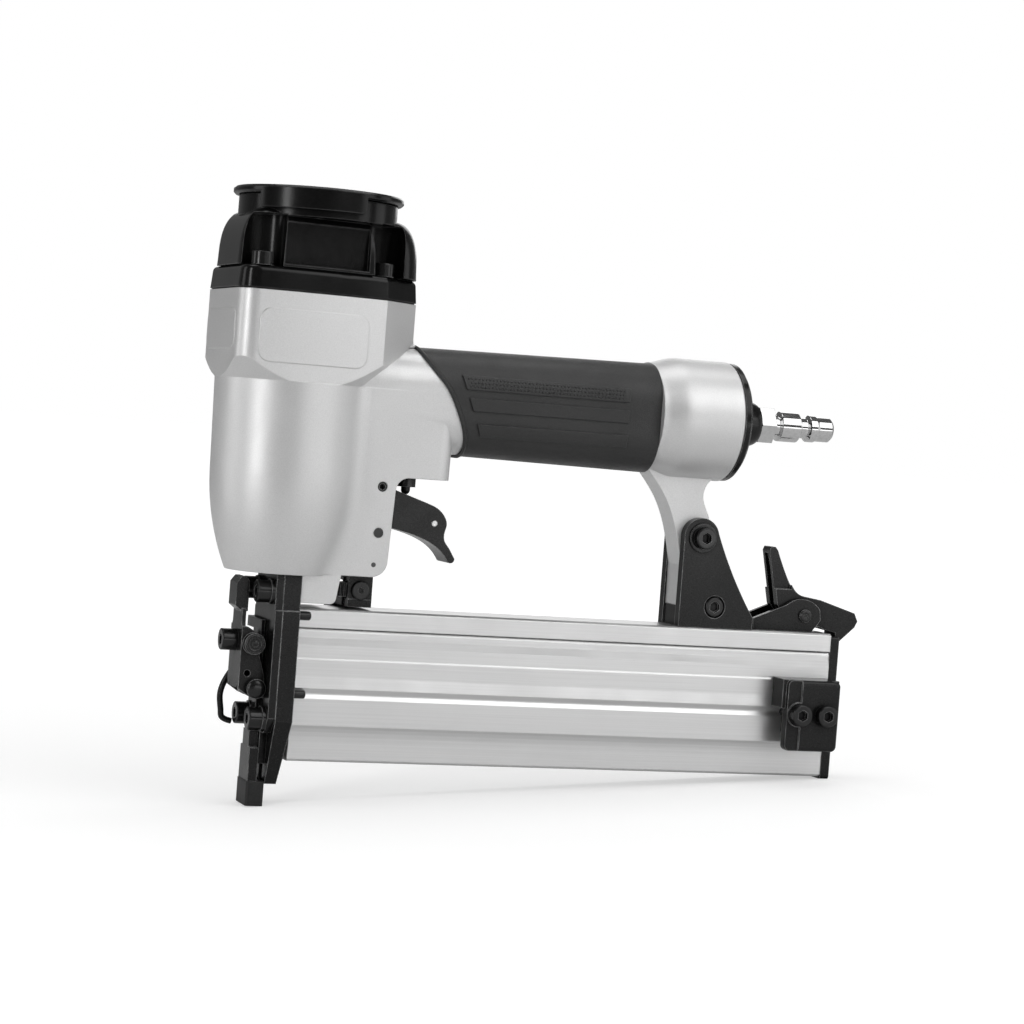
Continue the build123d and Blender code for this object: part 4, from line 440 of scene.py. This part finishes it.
def add_grip_stipple(name, tree, side):
    """Small round dots in staggered rows on the upper rib."""
    flatten = Matrix.Diagonal((1.0, 1.0, STIPPLE_FLATNESS, 1.0))
    bm = bmesh.new()
    for row, z in enumerate(STIPPLE_ROWS):
        x = rib_front(z) + STIPPLE_MARGIN + (row % 2) * STIPPLE_PITCH / 2
        while x < RIB_REAR - STIPPLE_MARGIN:
            point, facing = land_on(tree, x, z, side)
            place = Matrix.Translation(point + facing * RIB_RISE * MM) @ turn_to(facing) @ flatten
            bmesh.ops.create_icosphere(bm, subdivisions=1, radius=STIPPLE_RADIUS * MM, matrix=place)
            x += STIPPLE_PITCH
    add_piece(name, bm, "housing", "grip_rubber")


def front_rim(node_name):
    """The outer edge of the grip's slanted front end, as points in order."""
    bm = bmesh.new()
    bm.from_mesh(frame["nodes"][node_name].data)
    bmesh.ops.remove_doubles(bm, verts=bm.verts, dist=WELD)
    bm.normal_update()

    def is_end(face):
        return face.normal.x < GRIP_END_FACING

    def is_outside(face):
        middle = face.calc_center_median()
        return middle.y * face.normal.y + (middle.z - GRIP_AXIS_HEIGHT * MM) * face.normal.z > 0.0

    rim = {edge for edge in bm.edges if len(edge.link_faces) == 2
           and sum(is_end(face) for face in edge.link_faces) == 1
           and all(is_end(face) or is_outside(face) for face in edge.link_faces)}
    vert = min((end for edge in rim for end in edge.verts), key=lambda end: end.co.to_tuple(6))
    points = []
    while rim:
        onward = [edge for edge in vert.link_edges if edge in rim]
        if not onward:
            break
        points.append(vert.co.copy())
        ahead = min(onward, key=lambda edge: edge.other_vert(vert).co.to_tuple(6))
        rim.discard(ahead)
        vert = ahead.other_vert(vert)
    bm.free()
    return points


def add_grip_bead():
    """The thin bead along the front edge of the grip, where it meets the casting."""
    curve = bpy.data.curves.new("grip_front_bead", "CURVE")
    curve.dimensions = "3D"
    curve.bevel_depth = GRIP_BEAD_RADIUS * MM
    curve.bevel_resolution = 2
    points = front_rim("grip_sleeve")
    line = curve.splines.new("POLY")
    line.points.add(len(points) - 1)
    for knot, point in zip(line.points, points):
        knot.co = (*point, 1.0)
    line.use_cyclic_u = True
    holder = bpy.data.objects.new("grip_front_bead", curve)
    bm = bmesh.new()
    bm.from_mesh(bpy.data.meshes.new_from_object(holder))
    bpy.data.objects.remove(holder)
    add_piece("grip_front_bead", bm, "housing", "grip_rubber")


def add_turned(name, outline, centre, axis, body, slot, hollow=False):
    """A small turned piece: an outline of (radius, height) points goes once round an axis."""
    bm = bmesh.new()
    verts = [bm.verts.new((radius * MM, 0.0, height * MM)) for radius, height in outline]
    ends = verts[1:] + verts[:1] if hollow else verts[1:]
    edges = [bm.edges.new(pair) for pair in zip(verts, ends)]
    bmesh.ops.spin(bm, geom=verts + edges, axis=UP, cent=(0.0, 0.0, 0.0), angle=math.tau, steps=TURNED_STEPS,
                   use_merge=True)
    close_up(bm)
    bmesh.ops.transform(bm, matrix=Matrix.Translation(Vector(centre) * MM) @ turn_to(axis), verts=bm.verts)
    piece = add_piece(name, bm, body, slot)
    round_edges(piece, "crisp", TURNED_EDGE_ANGLE, TURNED_EDGE, 2)


def add_coil(node_name, joint, foot, along, coil_radius, wire_radius, length, turns, travel, body):
    """A compression spring as a coil of wire, in place of the CAD one, which it hides."""
    rise = (length - 2.0 * wire_radius) * MM / (turns * COIL_STEPS)
    bm = bmesh.new()
    section = Matrix.Translation((coil_radius * MM, 0.0, wire_radius * MM)) @ Matrix.Rotation(math.pi / 2, 4, "X")
    bmesh.ops.create_circle(bm, cap_ends=True, segments=COIL_WIRE_SIDES, radius=wire_radius * MM, matrix=section)
    bmesh.ops.spin(bm, geom=bm.verts[:] + bm.edges[:] + bm.faces[:], axis=UP, cent=(0.0, 0.0, 0.0),
                   dvec=(0.0, 0.0, rise), angle=math.tau * turns, steps=turns * COIL_STEPS)
    close_up(bm)
    bmesh.ops.transform(bm, matrix=Matrix.Translation(Vector(foot) * MM) @ turn_to(along), verts=bm.verts)
    coil = add_piece(f"{node_name}_coil", bm, body, slot_of_node[node_name])
    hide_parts(node_name)
    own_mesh(coil)


for node_name, sizes in COILS.items():
    add_coil(node_name, *sizes)

grip_surface = surface_tree("grip_sleeve")
for side, side_name in SIDES:
    for number, (low, high) in enumerate(GRIP_RIBS, 1):
        add_grip_rib(f"grip_rib_{number}_{side_name}", grip_surface, low, high, side)
    add_grip_stipple(f"grip_stipple_{side_name}", grip_surface, side)
add_grip_bead()

# The pin through the trigger's eye, and the washer under the upper screw of the foot
add_turned("trigger_eye_pin", EYE_PIN, EYE_PIN_PLACE, (0.0, 1.0, 0.0), "trigger_lever", "bright_steel")
add_turned("foot_washer", WASHER, WASHER_PLACE, (0.0, -1.0, 0.0), "housing", "black_screws", hollow=True)

# Pin ends on both sides, and the boss on the near side of the nose latch
for side, side_name in SIDES:
    out = Vector((1.0, side, 1.0))
    facing = (0.0, side, 0.0)
    add_turned(f"latch_pin_rivet_{side_name}", RIVET, out * Vector(RIVET_PLACE), facing, "housing", "black_screws")
    add_turned(f"pivot_pin_dome_{side_name}", DOME, out * Vector(DOME_PLACE), facing, "housing", "black_screws")
add_turned("lever_boss_cap", BOSS, BOSS_PLACE, (0.0, -1.0, 0.0), "nose_latch", "black_steel")

# A dark cap low on each trigger ear, painted shade of the dimple there
housing_surface = surface_tree("main_housing")
for side, side_name in SIDES:
    point, facing = land_on(housing_surface, *DIMPLE_SHADE_SPOT, side)
    add_turned(f"ear_dimple_shade_{side_name}", DIMPLE_SHADE_CAP, point / MM, facing, "housing", "inner_plastic")


def aim_camera():
    """The camera as it stood for the photograph."""
    level = Vector((math.sin(CAMERA_YAW), math.cos(CAMERA_YAW), 0.0))
    right = Vector((math.cos(CAMERA_YAW), -math.sin(CAMERA_YAW), 0.0))
    up = level * math.sin(CAMERA_PITCH) + Vector(UP) * math.cos(CAMERA_PITCH)
    ahead = level * math.cos(CAMERA_PITCH) - Vector(UP) * math.sin(CAMERA_PITCH)
    turned_right = right * math.cos(CAMERA_ROLL) + up * math.sin(CAMERA_ROLL)
    turned_up = up * math.cos(CAMERA_ROLL) - right * math.sin(CAMERA_ROLL)
    data = bpy.data.cameras.new("photo_camera")
    data.lens = CAMERA_LENS
    data.sensor_width = CAMERA_SENSOR
    data.clip_start, data.clip_end = CAMERA_CLIP
    camera = bpy.data.objects.new("photo_camera", data)
    bpy.context.scene.collection.objects.link(camera)
    turn = Matrix((turned_right, turned_up, -ahead)).transposed().to_4x4()
    camera.matrix_world = Matrix.Translation(CAMERA_PLACE) @ turn
    bpy.context.scene.camera = camera


def floor_material():
    """Pale paint that keeps its shadows, with a white of its own for the camera and a little for the metal."""
    mat = bpy.data.materials.new("studio_floor")
    mat.use_nodes = True
    nodes = mat.node_tree.nodes
    link = mat.node_tree.links.new
    nodes.remove(nodes["Principled BSDF"])
    paint = nodes.new("ShaderNodeBsdfDiffuse")
    paint.inputs["Color"].default_value = (*grey(FLOOR_GREY), 1.0)
    glow = nodes.new("ShaderNodeEmission")
    seen = nodes.new("ShaderNodeLightPath")
    place = nodes.new("ShaderNodeTexCoord")
    away = nodes.new("ShaderNodeVectorMath")
    away.operation = "DISTANCE"
    away.inputs[1].default_value = FLOOR_CENTRE
    lift = nodes.new("ShaderNodeMapRange")
    set_inputs(lift, {"From Min": FLOOR_NEAR, "From Max": FLOOR_FAR, "To Min": FLOOR_LIFT_NEAR,
                      "To Max": FLOOR_LIFT_FAR})
    mirrored = nodes.new("ShaderNodeMath")
    mirrored.operation = "MULTIPLY"
    mirrored.inputs[1].default_value = FLOOR_MIRRORED
    shown = nodes.new("ShaderNodeMath")
    shown.operation = "MULTIPLY_ADD"
    total = nodes.new("ShaderNodeAddShader")
    link(place.outputs["Object"], away.inputs[0])
    link(away.outputs["Value"], lift.inputs["Value"])
    link(seen.outputs["Is Glossy Ray"], mirrored.inputs[0])
    link(seen.outputs["Is Camera Ray"], shown.inputs[0])
    link(lift.outputs["Result"], shown.inputs[1])
    link(mirrored.outputs["Value"], shown.inputs[2])
    link(shown.outputs["Value"], glow.inputs["Strength"])
    link(paint.outputs["BSDF"], total.inputs[0])
    link(glow.outputs["Emission"], total.inputs[1])
    link(total.outputs["Shader"], nodes["Material Output"].inputs["Surface"])
    return mat


def make_floor():
    """A wide pale floor under the tip pad and the magazine's rear foot, level behind it."""
    rear_x, rear_z = FLOOR_REAR_POINT
    mesh = bpy.data.meshes.new("studio_floor")
    bm = bmesh.new()
    bmesh.ops.create_grid(bm, x_segments=2, y_segments=1, size=FLOOR_REACH)
    for vert in bm.verts:
        vert.co.z = rear_z + min(0.0, vert.co.x) * rear_z / rear_x
        vert.co.x += rear_x
    bm.to_mesh(mesh)
    bm.free()
    floor = bpy.data.objects.new("studio_floor", mesh)
    bpy.context.scene.collection.objects.link(floor)
    mesh.materials.append(floor_material())


def make_world():
    """White surroundings to the eye, gentler as light, and greyer in the metal in front of the tool."""
    world = bpy.data.worlds.new("studio")
    bpy.context.scene.world = world
    world.use_nodes = True
    nodes = world.node_tree.nodes
    link = world.node_tree.links.new
    sky = nodes["Background"]
    sky.inputs["Color"].default_value = (*grey(1.0), 1.0)
    seen = nodes.new("ShaderNodeLightPath")
    place = nodes.new("ShaderNodeTexCoord")
    split = nodes.new("ShaderNodeSeparateXYZ")
    behind = nodes.new("ShaderNodeMapRange")
    behind.interpolation_type = "SMOOTHSTEP"
    set_inputs(behind, {"From Min": WORLD_MIRRORED_SPAN[0], "From Max": WORLD_MIRRORED_SPAN[1],
                        "To Min": WORLD_MIRRORED[0], "To Max": WORLD_MIRRORED[1]})
    mirrored = nodes.new("ShaderNodeMix")
    mirrored.data_type = "FLOAT"
    mirrored.inputs["A"].default_value = WORLD_LEVEL
    shown = nodes.new("ShaderNodeMix")
    shown.data_type = "FLOAT"
    shown.inputs["B"].default_value = 1.0
    link(place.outputs["Generated"], split.inputs["Vector"])
    link(split.outputs["Y"], behind.inputs["Value"])
    link(behind.outputs["Result"], mirrored.inputs["B"])
    link(seen.outputs["Is Glossy Ray"], mirrored.inputs["Factor"])
    link(mirrored.outputs["Result"], shown.inputs["A"])
    link(seen.outputs["Is Camera Ray"], shown.inputs["Factor"])
    link(shown.outputs["Result"], sky.inputs["Strength"])


def add_panel_light(name, place, target, size, power):
    """A soft box aimed at a point."""
    data = bpy.data.lights.new(name, "AREA")
    data.shape = "RECTANGLE"
    data.size, data.size_y = size
    data.energy = power
    light = bpy.data.objects.new(name, data)
    bpy.context.scene.collection.objects.link(light)
    aim = (Vector(target) - Vector(place)).to_track_quat("-Z", "Y")
    light.matrix_world = Matrix.Translation(place) @ aim.to_matrix().to_4x4()


aim_camera()
make_floor()
make_world()
for lamp_name, lamp in LAMPS.items():
    add_panel_light(lamp_name, *lamp)

bpy.context.scene.view_settings.view_transform = "Standard"
